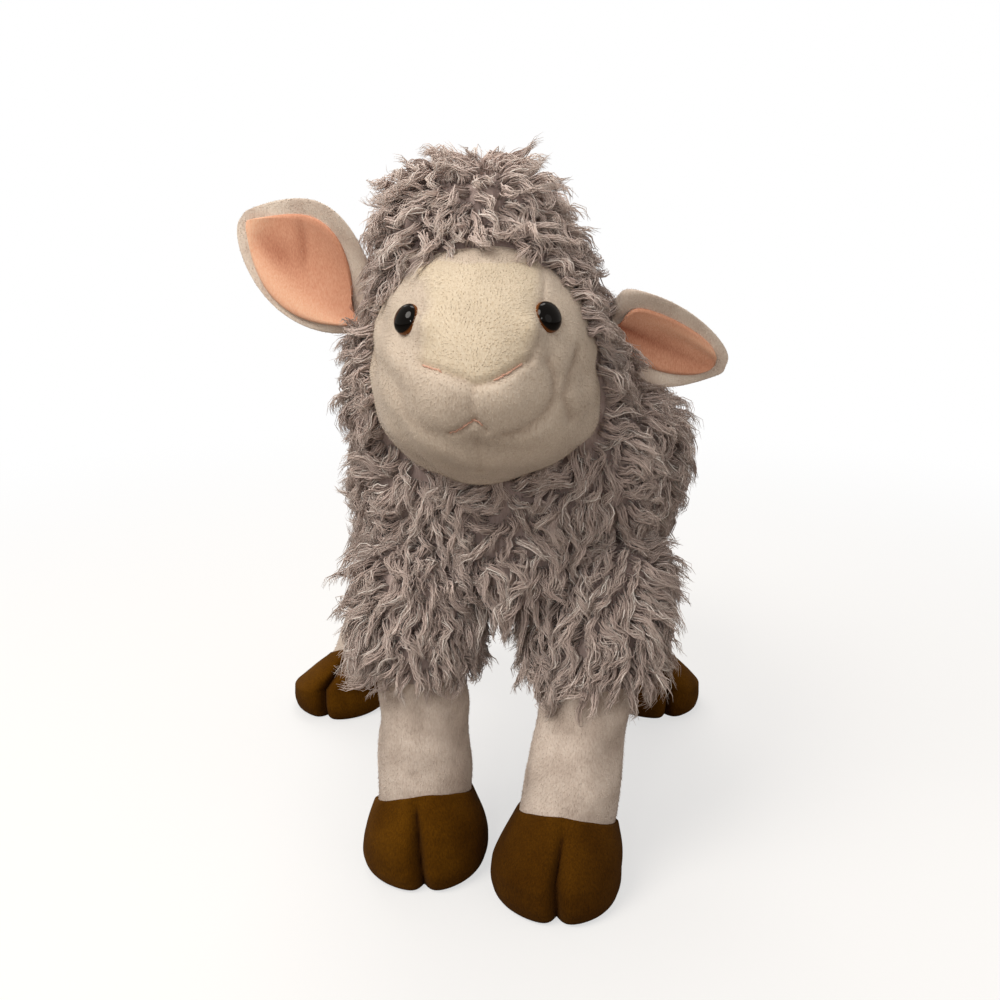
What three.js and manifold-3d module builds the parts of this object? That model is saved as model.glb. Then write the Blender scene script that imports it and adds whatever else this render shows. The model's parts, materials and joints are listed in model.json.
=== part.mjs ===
// A plush sheep, standing on four stuffed legs, as the separate pieces that it is sewn from.
// Millimetres, +Z up. The sheep faces -Y, and left and right are its own, so its left side is +X.
// The rest pose is the posed toy: head a little turned, one ear up, one front leg forward.

import * as THREE from 'three';
import { mergeVertices } from 'three/addons/utils/BufferGeometryUtils.js';
import Module from 'manifold-3d';

const wasm = await Module();
wasm.setup();

// Gaps: pieces that are sewn or pressed together, and balls that turn in their sockets.
const seamGap = 0.3;
const fillGap = 0.8;
const turnGap = 0.6;

// How far a cutting block reaches past what it cuts.
const overrun = 60;

// Cloth: the depth of the curly fleece, the short plush and the felt.
const fleecePile = 9;
const plushWall = 2.4;
const feltWall = 2.2;

// The barrel of the body, and the shoulders that rise over its top round the neck.
const barrel = { width: 184, length: 276, height: 128, bellyHeight: 123, frontY: -127, seamX: 7 };
const shoulders = { width: 168, length: 132, height: 110, rise: 15, offsetX: -7 };
const barrelBoxiness = 2.4;
const shoulderBoxiness = 2.35;
const rumpTaperShare = 0.08;
const gusset = { width: 84, length: 250 };

// The head turns on a ball at the neck, sunk in the shoulders. Places in the head are measured from it.
const neck = { x: -4, y: -74, sink: 20, radius: 53, turnDeg: -4.5, nodDownDeg: 10 };
const hood = { width: 114, length: 108, height: 120, y: -26, z: 41 };
const tuft = { width: 74, length: 66, height: 44, x: -7, y: -35, z: 92 };
const face = { width: 100, height: 106, snout: 64, nape: 44, y: -38, z: 21 };
const muzzle = { bulge: 5, width: 62, height: 46, drop: 6 };
const faceOpening = { width: 98, height: 96, z: 22, rimY: -30 };
const faceTuck = 9;

// Eyes: a domed plastic button on a stem, held by a washer behind the cloth.
const eye = { diameter: 13.5, dome: 4.4, brim: 0.8, lift: 0.4, stem: 3.5, stemLength: 9 };
const gaze = { yawDeg: 36, liftDeg: 19 };
const washer = { diameter: 15, thickness: 1.4, depth: 4.8 };

// Ears: a spoon of plush with a thin lining, on a tucked root. Each is raised above the horizontal,
// swept towards the tail and twisted about its length.
const ear = { length: 76, width: 56, cup: 9, root: 14, y: -22, z: 35 };
const earCloth = { wall: 2.6, lining: 1.2, ease: 0.8 };
const earRimShare = 0.86;
const earStartShare = 0.85;
const liningStartShare = 1.3;
const earRootShare = 0.08;
const earRollShare = 0.5;
const earSwellPower = 1.45;
const earRoundPower = 0.6;
const earTipShare = 0.1;
const earPoses = {
  right: { raiseDeg: 42, sweepDeg: 5, twistDeg: 10 },
  left: { raiseDeg: -14, sweepDeg: 37, twistDeg: 33 },
};

// Legs: hip height and ball, hem of the fleece, shin and cloven hoof, then where each one stands.
const leg = { hipHeight: 150, ball: 34, thigh: 70, hem: 66, hemHeight: 105, shin: 48, mouthFlareDeg: 24 };
const shin = { top: 111, foot: 45, waist: 1.2 };
const hoof = { width: 65.5, length: 72, height: 49, plantHeight: 20, cleft: 7, cleftWidth: 5 };
const hoofHeightShares = [0, 0.12, 0.34, 0.58, 0.82, 1];
const hoofRadiusShares = [0.9, 0.98, 1, 0.95, 0.87, 0.83];
const cleftCrowdShare = 0.5;
const hipSpread = { front: 46, rear: 50 };
const hipRow = { front: -92, rear: 88 };
const stances = {
  front_right: { side: -1, row: 'front', hoofX: -39, hoofY: -97, toeOutDeg: -3 },
  front_left: { side: 1, row: 'front', hoofX: 28.3, hoofY: -124, toeOutDeg: 0 },
  rear_right: { side: -1, row: 'rear', hoofX: -109, hoofY: 96, toeOutDeg: -16 },
  rear_left: { side: 1, row: 'rear', hoofX: 105, hoofY: 97, toeOutDeg: 14 },
};

// The short tail hangs from a ball a little below the top of the rump.
const tail = { length: 48, width: 26, root: 10, stand: 2, drop: 46, hangDeg: 50 };
const tailSwellPower = 0.8;

const colours = {
  fleece: new THREE.MeshStandardMaterial({ color: 0xa79b9c, roughness: 0.95, metalness: 0 }),
  plush: new THREE.MeshStandardMaterial({ color: 0xe3d6c6, roughness: 0.9, metalness: 0 }),
  lining: new THREE.MeshStandardMaterial({ color: 0xe7a98a, roughness: 0.8, metalness: 0 }),
  felt: new THREE.MeshStandardMaterial({ color: 0x5b3a12, roughness: 0.95, metalness: 0 }),
  stuffing: new THREE.MeshStandardMaterial({ color: 0xf4f3f0, roughness: 1, metalness: 0 }),
  button: new THREE.MeshStandardMaterial({ color: 0x0d0806, roughness: 0.12, metalness: 0 }),
  washer: new THREE.MeshStandardMaterial({ color: 0xe9e7e0, roughness: 0.45, metalness: 0 }),
};

// How finely the round shapes are divided: sides round each, and steps along the curves.
const trunkSides = 22;
const shoulderSides = 16;
const neckSides = 18;
const hoodSides = 18;
const tuftSides = 14;
const faceSides = 20;
const legSides = 16;
const ballSides = 12;
const smallSides = 12;
const bagRowShare = 0.56;
const hipArcSteps = 4;
const halfStepShare = 0.5;
const domeSteps = 3;
const tailSteps = 5;
const lensSteps = 10;
const earAcross = 8;
const earAlong = 6;
const nodSteps = 2;
const nodSpareDeg = 1.5;

const radians = THREE.MathUtils.degToRad;
const { clamp } = THREE.MathUtils;
const origin = new THREE.Vector3();
const barrelMiddle = barrel.frontY + barrel.length / 2;
const barrelTop = barrel.bellyHeight + barrel.height;
const barrelRear = barrel.frontY + barrel.length;
const shouldersTop = barrelTop + shoulders.rise;
const neckPlace = new THREE.Vector3(neck.x, neck.y, shouldersTop - neck.sink);
const tailPlace = new THREE.Vector3(barrel.seamX, barrelRear + tail.stand, barrelTop - tail.drop);
const faceCentre = new THREE.Vector3(0, face.y, face.z);
const headMatrix = new THREE.Matrix4().makeRotationZ(radians(neck.turnDeg)).setPosition(neckPlace);

const scene = new THREE.Group();

// Joins the seam vertices of a geometry and drops the triangles that this closes up.
function weld(geometry) {
  const bare = geometry.clone();
  bare.deleteAttribute('normal');
  bare.deleteAttribute('uv');
  const welded = mergeVertices(bare);
  const kept = [];
  const index = welded.index.array;
  for (let i = 0; i < index.length; i += 3) {
    const [a, b, c] = index.slice(i, i + 3);
    if (a !== b && b !== c && c !== a) kept.push(a, b, c);
  }
  welded.setIndex(kept);
  return welded;
}

function solidOf(geometry) {
  const welded = weld(geometry);
  const vertProperties = new Float32Array(welded.attributes.position.array);
  const triVerts = new Uint32Array(welded.index.array);
  return new wasm.Manifold(new wasm.Mesh({ numProp: 3, vertProperties, triVerts }));
}

// The main body of a cut solid, without the slivers that a cut can leave.
function largest(solid) {
  return solid.decompose().reduce((best, other) => (other.volume() > best.volume() ? other : best));
}

function geometryOf(solid) {
  const mesh = solid.getMesh();
  const geometry = new THREE.BufferGeometry();
  geometry.setAttribute('position', new THREE.BufferAttribute(mesh.vertProperties, 3));
  geometry.setIndex(new THREE.BufferAttribute(mesh.triVerts, 1));
  geometry.computeVertexNormals();
  return geometry;
}

function piece(name, geometry, material) {
  const mesh = new THREE.Mesh(geometry.isBufferGeometry ? weld(geometry) : geometryOf(geometry), material);
  mesh.geometry.computeVertexNormals();
  mesh.name = name;
  return mesh;
}

// Moves each vertex of a geometry by a function that changes the vector it is given.
function reshape(geometry, move) {
  const places = geometry.attributes.position;
  const point = new THREE.Vector3();
  for (let i = 0; i < places.count; i += 1) {
    point.fromBufferAttribute(places, i);
    move(point);
    places.setXYZ(i, point.x, point.y, point.z);
  }
  return geometry;
}

// A block between two corners, for cutting.
function block(low, high) {
  const size = high.clone().sub(low);
  const box = new THREE.BoxGeometry(size.x, size.y, size.z);
  box.translate(...low.clone().add(high).multiplyScalar(0.5).toArray());
  return solidOf(box);
}

function ball(centre, radius, around = ballSides) {
  const sphere = new THREE.SphereGeometry(radius, around, around / 2);
  sphere.translate(centre.x, centre.y, centre.z);
  return solidOf(sphere);
}

// A socket is turned half a side from its ball, so that its flats face the ball's corners.
function socket(centre, radius, around = ballSides) {
  const halfSide = Math.PI / around;
  const reach = (radius + seamGap) / Math.cos(halfSide) ** 2;
  const arc = [new THREE.Vector2(0, -reach)];
  for (let angle = halfSide; angle < Math.PI; angle += 2 * halfSide) {
    arc.push(new THREE.Vector2(reach * Math.sin(angle), -reach * Math.cos(angle)));
  }
  arc.push(new THREE.Vector2(0, reach));
  return solidOf(new THREE.LatheGeometry(arc, around, halfSide).translate(centre.x, centre.y, centre.z));
}

// A stuffed bag: a unit ball with its poles on Y, made boxy by the power and scaled to its half sizes.
function bag(half, centre, power, around) {
  const unit = new THREE.SphereGeometry(1, around, Math.round(around * bagRowShare));
  return reshape(unit, (p) => {
    const norm = (Math.abs(p.x) ** power + Math.abs(p.y) ** power + Math.abs(p.z) ** power) ** (1 / power);
    p.divideScalar(norm).multiply(half).add(centre);
  });
}

// The outline of the body without its pile, or shrunk below it.
function bodyForm(shrink) {
  const half = new THREE.Vector3(barrel.width, barrel.length, barrel.height).multiplyScalar(0.5);
  half.subScalar(shrink);
  const centre = new THREE.Vector3(barrel.seamX, barrelMiddle, barrel.bellyHeight + barrel.height / 2);
  const trunk = reshape(bag(half, centre, barrelBoxiness, trunkSides), (p) => {
    const back = clamp((p.y - barrelMiddle) / half.y, 0, 1);
    p.x = barrel.seamX + (p.x - barrel.seamX) * (1 - rumpTaperShare * back * back);
  });
  const rise = new THREE.Vector3(shoulders.width, shoulders.length, shoulders.height).multiplyScalar(0.5);
  const top = new THREE.Vector3(
    barrel.seamX + shoulders.offsetX,
    barrel.frontY + shoulders.length / 2,
    shouldersTop - shoulders.height / 2,
  );
  rise.subScalar(shrink);
  return solidOf(trunk).add(solidOf(bag(rise, top, shoulderBoxiness, shoulderSides)));
}

// The egg of the head under the face: a long snout in front, a short nape behind, a swollen muzzle.
function faceForm(shrink) {
  const halfWidth = face.width / 2 - shrink;
  const halfHeight = face.height / 2 - shrink;
  return reshape(new THREE.SphereGeometry(1, faceSides, Math.round(faceSides * bagRowShare)), (p) => {
    const reach = (p.y < 0 ? face.snout : face.nape) - shrink;
    const aside = (p.x * halfWidth) / (muzzle.width / 2);
    const above = (p.z * halfHeight + muzzle.drop) / (muzzle.height / 2);
    const swell = Math.exp(-aside * aside - above * above);
    const push = p.y < 0 ? muzzle.bulge * swell : 0;
    p.set(p.x * halfWidth, p.y * reach - push, p.z * halfHeight).add(faceCentre);
  });
}

function hoodForm(shrink) {
  const half = new THREE.Vector3(hood.width, hood.length, hood.height).multiplyScalar(0.5);
  return solidOf(bag(half.subScalar(shrink), new THREE.Vector3(0, hood.y, hood.z), 2, hoodSides));
}

function tuftForm() {
  const half = new THREE.Vector3(tuft.width, tuft.length, tuft.height).multiplyScalar(0.5);
  return solidOf(bag(half, new THREE.Vector3(tuft.x, tuft.y, tuft.z), 2, tuftSides));
}

// Where the centre line of a leg is at a height: over the hip it stays, below it leans to the hoof.
function legLine(stance, height) {
  const hipX = barrel.seamX + stance.side * hipSpread[stance.row];
  const hipY = hipRow[stance.row];
  const share = clamp((leg.hipHeight - height) / (leg.hipHeight - hoof.plantHeight), 0, 1);
  const x = hipX + (stance.hoofX - hipX) * share;
  const y = hipY + (stance.hoofY - hipY) * share;
  return new THREE.Vector3(x, y, height);
}

// Turns a profile of radius and height into a solid that leans along the leg, oval and cleft at the hoof.
function legShape(stance, profile, startAngle = 0) {
  const round = new THREE.LatheGeometry(profile, legSides, startAngle).rotateX(Math.PI / 2);
  const toe = new THREE.Euler(0, 0, radians(stance.toeOutDeg));
  return reshape(round, (p) => {
    const height = p.z;
    const radius = Math.hypot(p.x, p.y);
    const turn = Math.atan2(p.x, -p.y);
    const low = clamp((hoof.height - height) / hoof.plantHeight, 0, 1);
    const angle = turn - cleftCrowdShare * Math.sin(turn);
    const across = (radius * angle) / hoof.cleftWidth;
    const fold = hoof.cleft * low * ((2 * radius) / hoof.width) * Math.exp(-across * across);
    const stretch = 1 + (hoof.length / hoof.width - 1) * low;
    p.set((radius - fold) * Math.sin(angle), -(radius - fold) * Math.cos(angle) * stretch, 0);
    p.applyEuler(toe).add(legLine(stance, height));
  });
}

// The outside of the hoof, as radius and height, drawn in by the inset.
function hoofSide(inset, lowest, highest) {
  const points = hoofHeightShares.map((share, i) => (
    new THREE.Vector2((hoofRadiusShares[i] * hoof.width) / 2 - inset, share * hoof.height)));
  const foot = new THREE.Vector2(points[0].x, lowest);
  const top = new THREE.Vector2(points[points.length - 1].x, highest);
  return [foot, ...points.filter((point) => point.y > lowest && point.y < highest), top];
}

// The ball at the hip, as an arc from the pole down to the hip, or with its steps set back by a share.
function hipArc(radius, backShare = 0) {
  const points = [new THREE.Vector2(0, leg.hipHeight + radius)];
  for (let i = 1; i <= hipArcSteps; i += 1) {
    const angle = (Math.PI / 2) * (1 - (i - backShare) / hipArcSteps);
    points.push(new THREE.Vector2(radius * Math.cos(angle), leg.hipHeight + radius * Math.sin(angle)));
  }
  return points;
}

// The curly sleeve of the upper leg: a sock with a round top, open at the hem over the shin.
function legFleece(stance) {
  const inner = leg.shin / 2 + seamGap;
  const outside = hipArc(leg.ball);
  outside.push(new THREE.Vector2(leg.thigh / 2, (leg.hipHeight + leg.hemHeight) / 2));
  outside.push(new THREE.Vector2(leg.hem / 2, leg.hemHeight));
  const inside = [new THREE.Vector2(inner, leg.hemHeight), new THREE.Vector2(inner, shin.top + seamGap)];
  inside.push(...hipArc(leg.ball - fleecePile).reverse());
  return legShape(stance, [...outside, ...inside].reverse());
}

// The plain plush tube of the shin, tucked under the fleece above and into the hoof below.
function shinCover(stance) {
  const radius = leg.shin / 2;
  const waist = radius - shin.waist;
  const middle = (shin.top + shin.foot) / 2;
  const profile = [
    new THREE.Vector2(radius, shin.foot),
    new THREE.Vector2(radius, hoof.height),
    new THREE.Vector2(waist, middle),
    new THREE.Vector2(radius, shin.top),
    new THREE.Vector2(radius - plushWall, shin.top),
    new THREE.Vector2(waist - plushWall, middle),
    new THREE.Vector2(radius - plushWall, shin.foot),
  ];
  return legShape(stance, [...profile, profile[0].clone()]);
}

// The felt hoof, open at the top for the shin and at the floor for the sole.
function hoofCover(stance, grow = 0) {
  const outside = hoofSide(-grow, 0, hoof.height);
  const inside = hoofSide(feltWall + grow, 0, shin.foot - seamGap).reverse();
  const throatRadius = leg.shin / 2 + 2 * seamGap;
  const rims = [hoof.height, shin.foot - seamGap];
  const throat = rims.map((height) => new THREE.Vector2(throatRadius, height));
  return legShape(stance, [...outside, ...throat, ...inside, outside[0].clone()]);
}

function hoofSole(stance) {
  const radius = (hoofRadiusShares[0] * hoof.width) / 2 - feltWall - seamGap;
  const profile = [
    new THREE.Vector2(0, 0),
    new THREE.Vector2(radius, 0),
    new THREE.Vector2(radius, feltWall),
    new THREE.Vector2(0, feltWall),
  ];
  return legShape(stance, profile);
}

// The filling, from the sole up through the hoof and the shin into the ball.
function legStuffing(stance) {
  const inShin = leg.shin / 2 - plushWall - fillGap;
  const inHoof = hoofSide(feltWall + fillGap, feltWall + seamGap, shin.foot - 2 * seamGap);
  const profile = [
    new THREE.Vector2(0, feltWall + seamGap),
    ...inHoof,
    new THREE.Vector2(inShin, shin.foot - 2 * seamGap),
    new THREE.Vector2(inShin - shin.waist, (shin.top + shin.foot) / 2),
    new THREE.Vector2(inShin, shin.top + 2 * seamGap),
    ...hipArc(leg.ball - fleecePile - seamGap).reverse(),
  ];
  return largest(solidOf(legShape(stance, profile)).subtract(solidOf(hoofCover(stance, seamGap))));
}

function addLeg(name, stance) {
  scene.add(piece(`${name}_leg_fleece`, legFleece(stance), colours.fleece));
  scene.add(piece(`${name}_shin_cover`, shinCover(stance), colours.plush));
  scene.add(piece(`${name}_hoof_cover`, hoofCover(stance), colours.felt));
  scene.add(piece(`${name}_hoof_sole`, hoofSole(stance), colours.felt));
  scene.add(piece(`${name}_leg_stuffing`, legStuffing(stance), colours.stuffing));
}

// The socket of a leg: a ball at the hip that opens into a trumpet, so that the leg can swing.
// Its flats face the corners of the leg's ball, and the widest of them is the one behind.
function legMouth(stance) {
  const halfSide = Math.PI / legSides;
  const widest = halfSide + cleftCrowdShare * Math.sin(halfSide);
  const radius = (leg.ball + seamGap) / Math.cos(widest) / Math.cos(Math.PI / 4 / hipArcSteps);
  const profile = hipArc(radius, halfStepShare);
  const throat = profile[profile.length - 1];
  const flare = throat.x + (throat.y - leg.hemHeight) * Math.tan(radians(leg.mouthFlareDeg));
  profile.push(new THREE.Vector2(flare, leg.hemHeight), new THREE.Vector2(0, leg.hemHeight));
  return solidOf(legShape(stance, profile.reverse(), halfSide));
}

// The belly panel is cut as a lens, pointed between the front legs and under the rump.
function bellyLens(inset) {
  const tip = gusset.length / 2 - inset;
  const bow = gusset.width - 2 * inset;
  const lens = new THREE.Shape();
  lens.moveTo(0, -tip);
  lens.quadraticCurveTo(bow, 0, 0, tip);
  lens.quadraticCurveTo(-bow, 0, 0, -tip);
  const depth = barrel.bellyHeight + barrel.height / 2 - inset;
  const plate = new THREE.ExtrudeGeometry(lens, { depth, bevelEnabled: false, curveSegments: lensSteps });
  return solidOf(plate.translate(barrel.seamX, barrelMiddle, 0));
}

// Puts a solid that is measured from the neck ball into its place in the turned head.
function intoHead(solid) {
  return solidOf(geometryOf(solid).applyMatrix4(headMatrix));
}

// The room that the nodding face needs in the chest.
function headSweep() {
  const swept = [];
  for (let i = 0; i < nodSteps; i += 1) {
    const nod = radians(neck.nodDownDeg + nodSpareDeg) * (i / (nodSteps - 1));
    swept.push(intoHead(solidOf(faceForm(-turnGap).rotateX(nod))));
  }
  return wasm.Manifold.union(swept);
}

function addTorso() {
  const sockets = [socket(neckPlace, neck.radius, neckSides), headSweep(), socket(tailPlace, tail.root)];
  for (const stance of Object.values(stances)) sockets.push(legMouth(stance));
  const room = wasm.Manifold.union(sockets);
  const cover = bodyForm(0).subtract(bodyForm(fleecePile)).subtract(room);
  const top = shouldersTop + overrun;
  const rear = barrelRear + overrun;
  for (const [name, sign] of [['torso_panel_right', -1], ['torso_panel_left', 1]]) {
    const seam = barrel.seamX + (sign * seamGap) / 2;
    const edge = barrel.seamX + sign * (barrel.width / 2 + overrun);
    const low = new THREE.Vector3(Math.min(seam, edge), barrel.frontY - overrun, -overrun);
    const high = new THREE.Vector3(Math.max(seam, edge), rear, top);
    const panel = cover.intersect(block(low, high)).subtract(bellyLens(0));
    scene.add(piece(name, panel, colours.fleece));
  }
  scene.add(piece('belly_panel', cover.intersect(bellyLens(seamGap)), colours.fleece));
  const filling = bodyForm(fleecePile + seamGap).subtract(room);
  scene.add(piece('torso_stuffing', filling, colours.stuffing));
}

// A button eye and its washer stand on the face along the line that they look.
function eyeMatrix(side) {
  const yaw = radians(gaze.yawDeg);
  const lift = radians(gaze.liftDeg);
  const look = new THREE.Vector3(side * Math.sin(yaw), -Math.cos(yaw), Math.tan(lift)).normalize();
  const half = new THREE.Vector3(face.width / 2, face.snout, face.height / 2);
  const reach = 1 / look.clone().divide(half).length();
  const seat = look.clone().multiplyScalar(reach).add(faceCentre);
  const outward = seat.clone().sub(faceCentre).divide(half).divide(half).normalize();
  const turn = new THREE.Quaternion().setFromUnitVectors(new THREE.Vector3(0, 1, 0), outward);
  const stand = new THREE.Matrix4().makeRotationFromQuaternion(turn).setPosition(seat);
  return headMatrix.clone().multiply(stand);
}

// An eye about its own axis, standing on the cloth, or grown by a clearance for its hole.
function eyeProfile(grow) {
  const radius = eye.diameter / 2 + grow;
  const brim = eye.lift + eye.brim;
  const stem = eye.stem / 2 + grow;
  const points = [
    new THREE.Vector2(0, -eye.stemLength - grow),
    new THREE.Vector2(stem, -eye.stemLength - grow),
    new THREE.Vector2(stem, eye.lift - grow),
    new THREE.Vector2(radius, eye.lift - grow),
  ];
  for (let i = 0; i <= domeSteps; i += 1) {
    const angle = (Math.PI / 2) * (i / domeSteps);
    points.push(new THREE.Vector2(radius * Math.cos(angle), brim + (eye.dome + grow) * Math.sin(angle)));
  }
  points[points.length - 1].x = 0;
  return new THREE.LatheGeometry(points, smallSides);
}

function washerProfile(grow) {
  const outer = washer.diameter / 2 + grow;
  const hole = eye.stem / 2 + seamGap - grow;
  const front = -washer.depth + grow;
  const back = -washer.depth - washer.thickness - grow;
  const ring = [[hole, back], [outer, back], [outer, front], [hole, front], [hole, back]];
  return new THREE.LatheGeometry(ring.map(([x, y]) => new THREE.Vector2(x, y)), smallSides);
}

// Everything that the two eyes take out of the cloth and the filling.
function eyeRoom() {
  const rooms = [];
  for (const side of [-1, 1]) {
    const matrix = eyeMatrix(side);
    rooms.push(solidOf(eyeProfile(seamGap).applyMatrix4(matrix)));
    rooms.push(solidOf(washerProfile(seamGap).applyMatrix4(matrix)));
  }
  return wasm.Manifold.union(rooms);
}

// All of the head in front of a plane.
function frontOf(y) {
  const low = new THREE.Vector3(-face.width, face.y - face.snout - overrun, face.z - face.height);
  return block(low, new THREE.Vector3(face.width, y, face.z + face.height));
}

function earPivot(side) {
  return new THREE.Vector3((side * hood.width) / 2, ear.y, ear.z);
}

// The oval that the hood leaves open for the face, from its rim forwards.
function faceWindow() {
  const oval = new THREE.CylinderGeometry(0.5, 0.5, overrun * 2, faceSides);
  oval.scale(faceOpening.width, 1, faceOpening.height);
  return solidOf(oval.translate(0, faceOpening.rimY - overrun, faceOpening.z));
}

function addHead() {
  const neckBall = (shrink) => ball(origin, neck.radius - shrink, neckSides);
  const earSockets = [-1, 1].map((side) => socket(earPivot(side), ear.root));
  const outside = hoodForm(0).add(neckBall(0)).add(tuftForm());
  const core = hoodForm(fleecePile).add(neckBall(fleecePile)).add(solidOf(faceForm(-seamGap)));
  const ears = wasm.Manifold.union(earSockets);
  const cover = outside.subtract(core).subtract(ears).subtract(faceWindow());
  scene.add(piece('head_hood', intoHead(cover), colours.fleece));

  const shell = solidOf(faceForm(0)).subtract(solidOf(faceForm(plushWall)));
  const skin = shell.intersect(frontOf(face.y - faceTuck));
  const room = eyeRoom();
  scene.add(piece('face_panel', intoHead(skin).subtract(room), colours.plush));

  const packed = hoodForm(fleecePile + seamGap).add(neckBall(fleecePile + seamGap))
    .add(solidOf(faceForm(plushWall + seamGap)));
  const skinRoom = solidOf(faceForm(-seamGap)).subtract(solidOf(faceForm(plushWall + seamGap)))
    .intersect(frontOf(face.y - faceTuck + seamGap));
  const filling = packed.subtract(skinRoom).subtract(ears);
  scene.add(piece('head_stuffing', intoHead(filling).subtract(room), colours.stuffing));

  for (const [name, side] of [['right', -1], ['left', 1]]) {
    const matrix = eyeMatrix(side);
    scene.add(piece(`eye_${name}`, eyeProfile(0).applyMatrix4(matrix), colours.button));
    scene.add(piece(`eye_washer_${name}`, washerProfile(0).applyMatrix4(matrix), colours.washer));
  }
}

// Half the width of the ear's spoon at a distance along it from the root.
function earHalfWidth(reach) {
  const share = clamp(reach / ear.length, 0, 1);
  const spoon = Math.sin(Math.PI * share ** earSwellPower) ** earRoundPower;
  return (ear.width / 2) * (earRootShare * (1 - share) + earTipShare + spoon);
}

// A leaf of the ear between two depths, as large as a share of the whole spoon, cupped to the front.
function earLeaf(leafShare, start, frontDepth, backDepth) {
  const sheet = new THREE.BoxGeometry(1, 1, 1, earAlong, 1, earAcross);
  return reshape(sheet, (p) => {
    const reach = start + (ear.length * leafShare - start) * (p.x + 0.5);
    const aside = 2 * p.z * earHalfWidth(reach / leafShare) * leafShare;
    const across = aside / earHalfWidth(reach);
    const roll = ear.cup * (1 + earRollShare * (1 - reach / ear.length)) * across * across;
    p.set(reach, (p.y < 0 ? -frontDepth : backDepth) - roll, aside);
  });
}

function addEar(name, side) {
  const pose = earPoses[name];
  const raise = side > 0 ? -radians(pose.raiseDeg) : radians(pose.raiseDeg) - Math.PI;
  const place = headMatrix.clone()
    .multiply(new THREE.Matrix4().setPosition(earPivot(side)))
    .multiply(new THREE.Matrix4().makeRotationY(raise))
    .multiply(new THREE.Matrix4().makeRotationZ(radians(pose.sweepDeg)))
    .multiply(new THREE.Matrix4().makeRotationX(side * radians(pose.twistDeg)));
  const back = solidOf(earLeaf(1, ear.root * earStartShare, 0, earCloth.wall).applyMatrix4(place));
  const root = solidOf(new THREE.SphereGeometry(ear.root, smallSides, smallSides / 2).applyMatrix4(place));
  const front = earCloth.lining + earCloth.ease;
  const lining = earLeaf(earRimShare, ear.root * liningStartShare, front, -earCloth.ease);
  lining.applyMatrix4(place);
  scene.add(piece(`ear_cover_${name}`, back.add(root), colours.plush));
  scene.add(piece(`ear_lining_${name}`, lining, colours.lining));
}

// The tail: a drop of fleece on a ball that turns in the rump.
function addTail() {
  const drop = [new THREE.Vector2(0, -tail.length)];
  for (let i = 1; i <= tailSteps; i += 1) {
    const share = i / tailSteps;
    const swell = (tail.width / 2) * Math.sin(Math.PI * share ** tailSwellPower);
    drop.push(new THREE.Vector2(swell + (tail.root / 2) * share * share, -tail.length * (1 - share)));
  }
  drop.push(new THREE.Vector2(0, 0));
  const hang = new THREE.Matrix4().makeRotationX(radians(tail.hangDeg)).setPosition(tailPlace);
  const lathe = new THREE.LatheGeometry(drop, smallSides).rotateX(Math.PI / 2).applyMatrix4(hang);
  scene.add(piece('tail', solidOf(lathe).add(ball(tailPlace, tail.root)), colours.fleece));
}

addTorso();
addHead();
addEar('right', -1);
addEar('left', 1);
for (const [name, stance] of Object.entries(stances)) addLeg(name, stance);
addTail();

// The toy's box stands with the middle of its underside on the origin.
const extent = new THREE.Box3().setFromObject(scene);
const middle = extent.getCenter(new THREE.Vector3());
scene.position.set(-middle.x, -middle.y, -extent.min.z);

export default scene;
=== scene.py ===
# %% [markdown]
# A plush sheep stands on four stuffed legs. Its CAD frame holds the sewn pieces as plain solids,
# and this lesson dresses them: curly fleece, short plush, pink ear linings, felt hooves, button eyes
# and the few stitches of the face. Everything is in metres, in the frame's own axes: the sheep faces
# -Y, and left and right are its own.

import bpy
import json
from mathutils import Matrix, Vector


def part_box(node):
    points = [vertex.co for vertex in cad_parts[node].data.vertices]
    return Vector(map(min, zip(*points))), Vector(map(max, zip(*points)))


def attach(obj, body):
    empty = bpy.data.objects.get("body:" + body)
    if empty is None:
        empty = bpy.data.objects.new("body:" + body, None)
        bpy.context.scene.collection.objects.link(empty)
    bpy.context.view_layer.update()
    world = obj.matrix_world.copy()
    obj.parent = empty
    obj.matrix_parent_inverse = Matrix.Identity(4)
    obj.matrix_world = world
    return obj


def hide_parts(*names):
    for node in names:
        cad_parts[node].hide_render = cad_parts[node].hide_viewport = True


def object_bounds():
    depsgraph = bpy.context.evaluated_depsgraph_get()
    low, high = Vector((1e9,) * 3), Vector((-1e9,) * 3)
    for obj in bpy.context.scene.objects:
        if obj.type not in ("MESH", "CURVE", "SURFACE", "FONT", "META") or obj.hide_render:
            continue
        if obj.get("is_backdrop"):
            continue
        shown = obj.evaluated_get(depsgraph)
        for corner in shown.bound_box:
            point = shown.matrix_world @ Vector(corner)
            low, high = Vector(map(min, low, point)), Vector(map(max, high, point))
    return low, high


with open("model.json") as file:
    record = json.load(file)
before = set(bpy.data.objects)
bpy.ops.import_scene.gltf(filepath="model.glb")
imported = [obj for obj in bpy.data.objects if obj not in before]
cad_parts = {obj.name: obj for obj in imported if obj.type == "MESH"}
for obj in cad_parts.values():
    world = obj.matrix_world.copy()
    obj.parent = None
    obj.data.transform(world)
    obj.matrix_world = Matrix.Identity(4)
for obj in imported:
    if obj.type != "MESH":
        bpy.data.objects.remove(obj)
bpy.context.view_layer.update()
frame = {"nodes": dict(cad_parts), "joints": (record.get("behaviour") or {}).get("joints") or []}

# %% The libraries
import json
import math

import bpy
import numpy as np
from mathutils import Vector
from mathutils.bvhtree import BVHTree

MM = 0.001
JOINTS = {joint["name"]: np.array(joint["pos_m"]) for joint in frame["joints"]}
scene = bpy.context.scene

# %% [markdown]
# The camera comes first, because the small features of the face are placed by looking through it.
# The photograph was taken from a little above the toy, close enough for a strong perspective: the
# front hooves are larger than the rear ones. A lens of 39.6 mm on a 36 mm sensor gives that.

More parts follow.
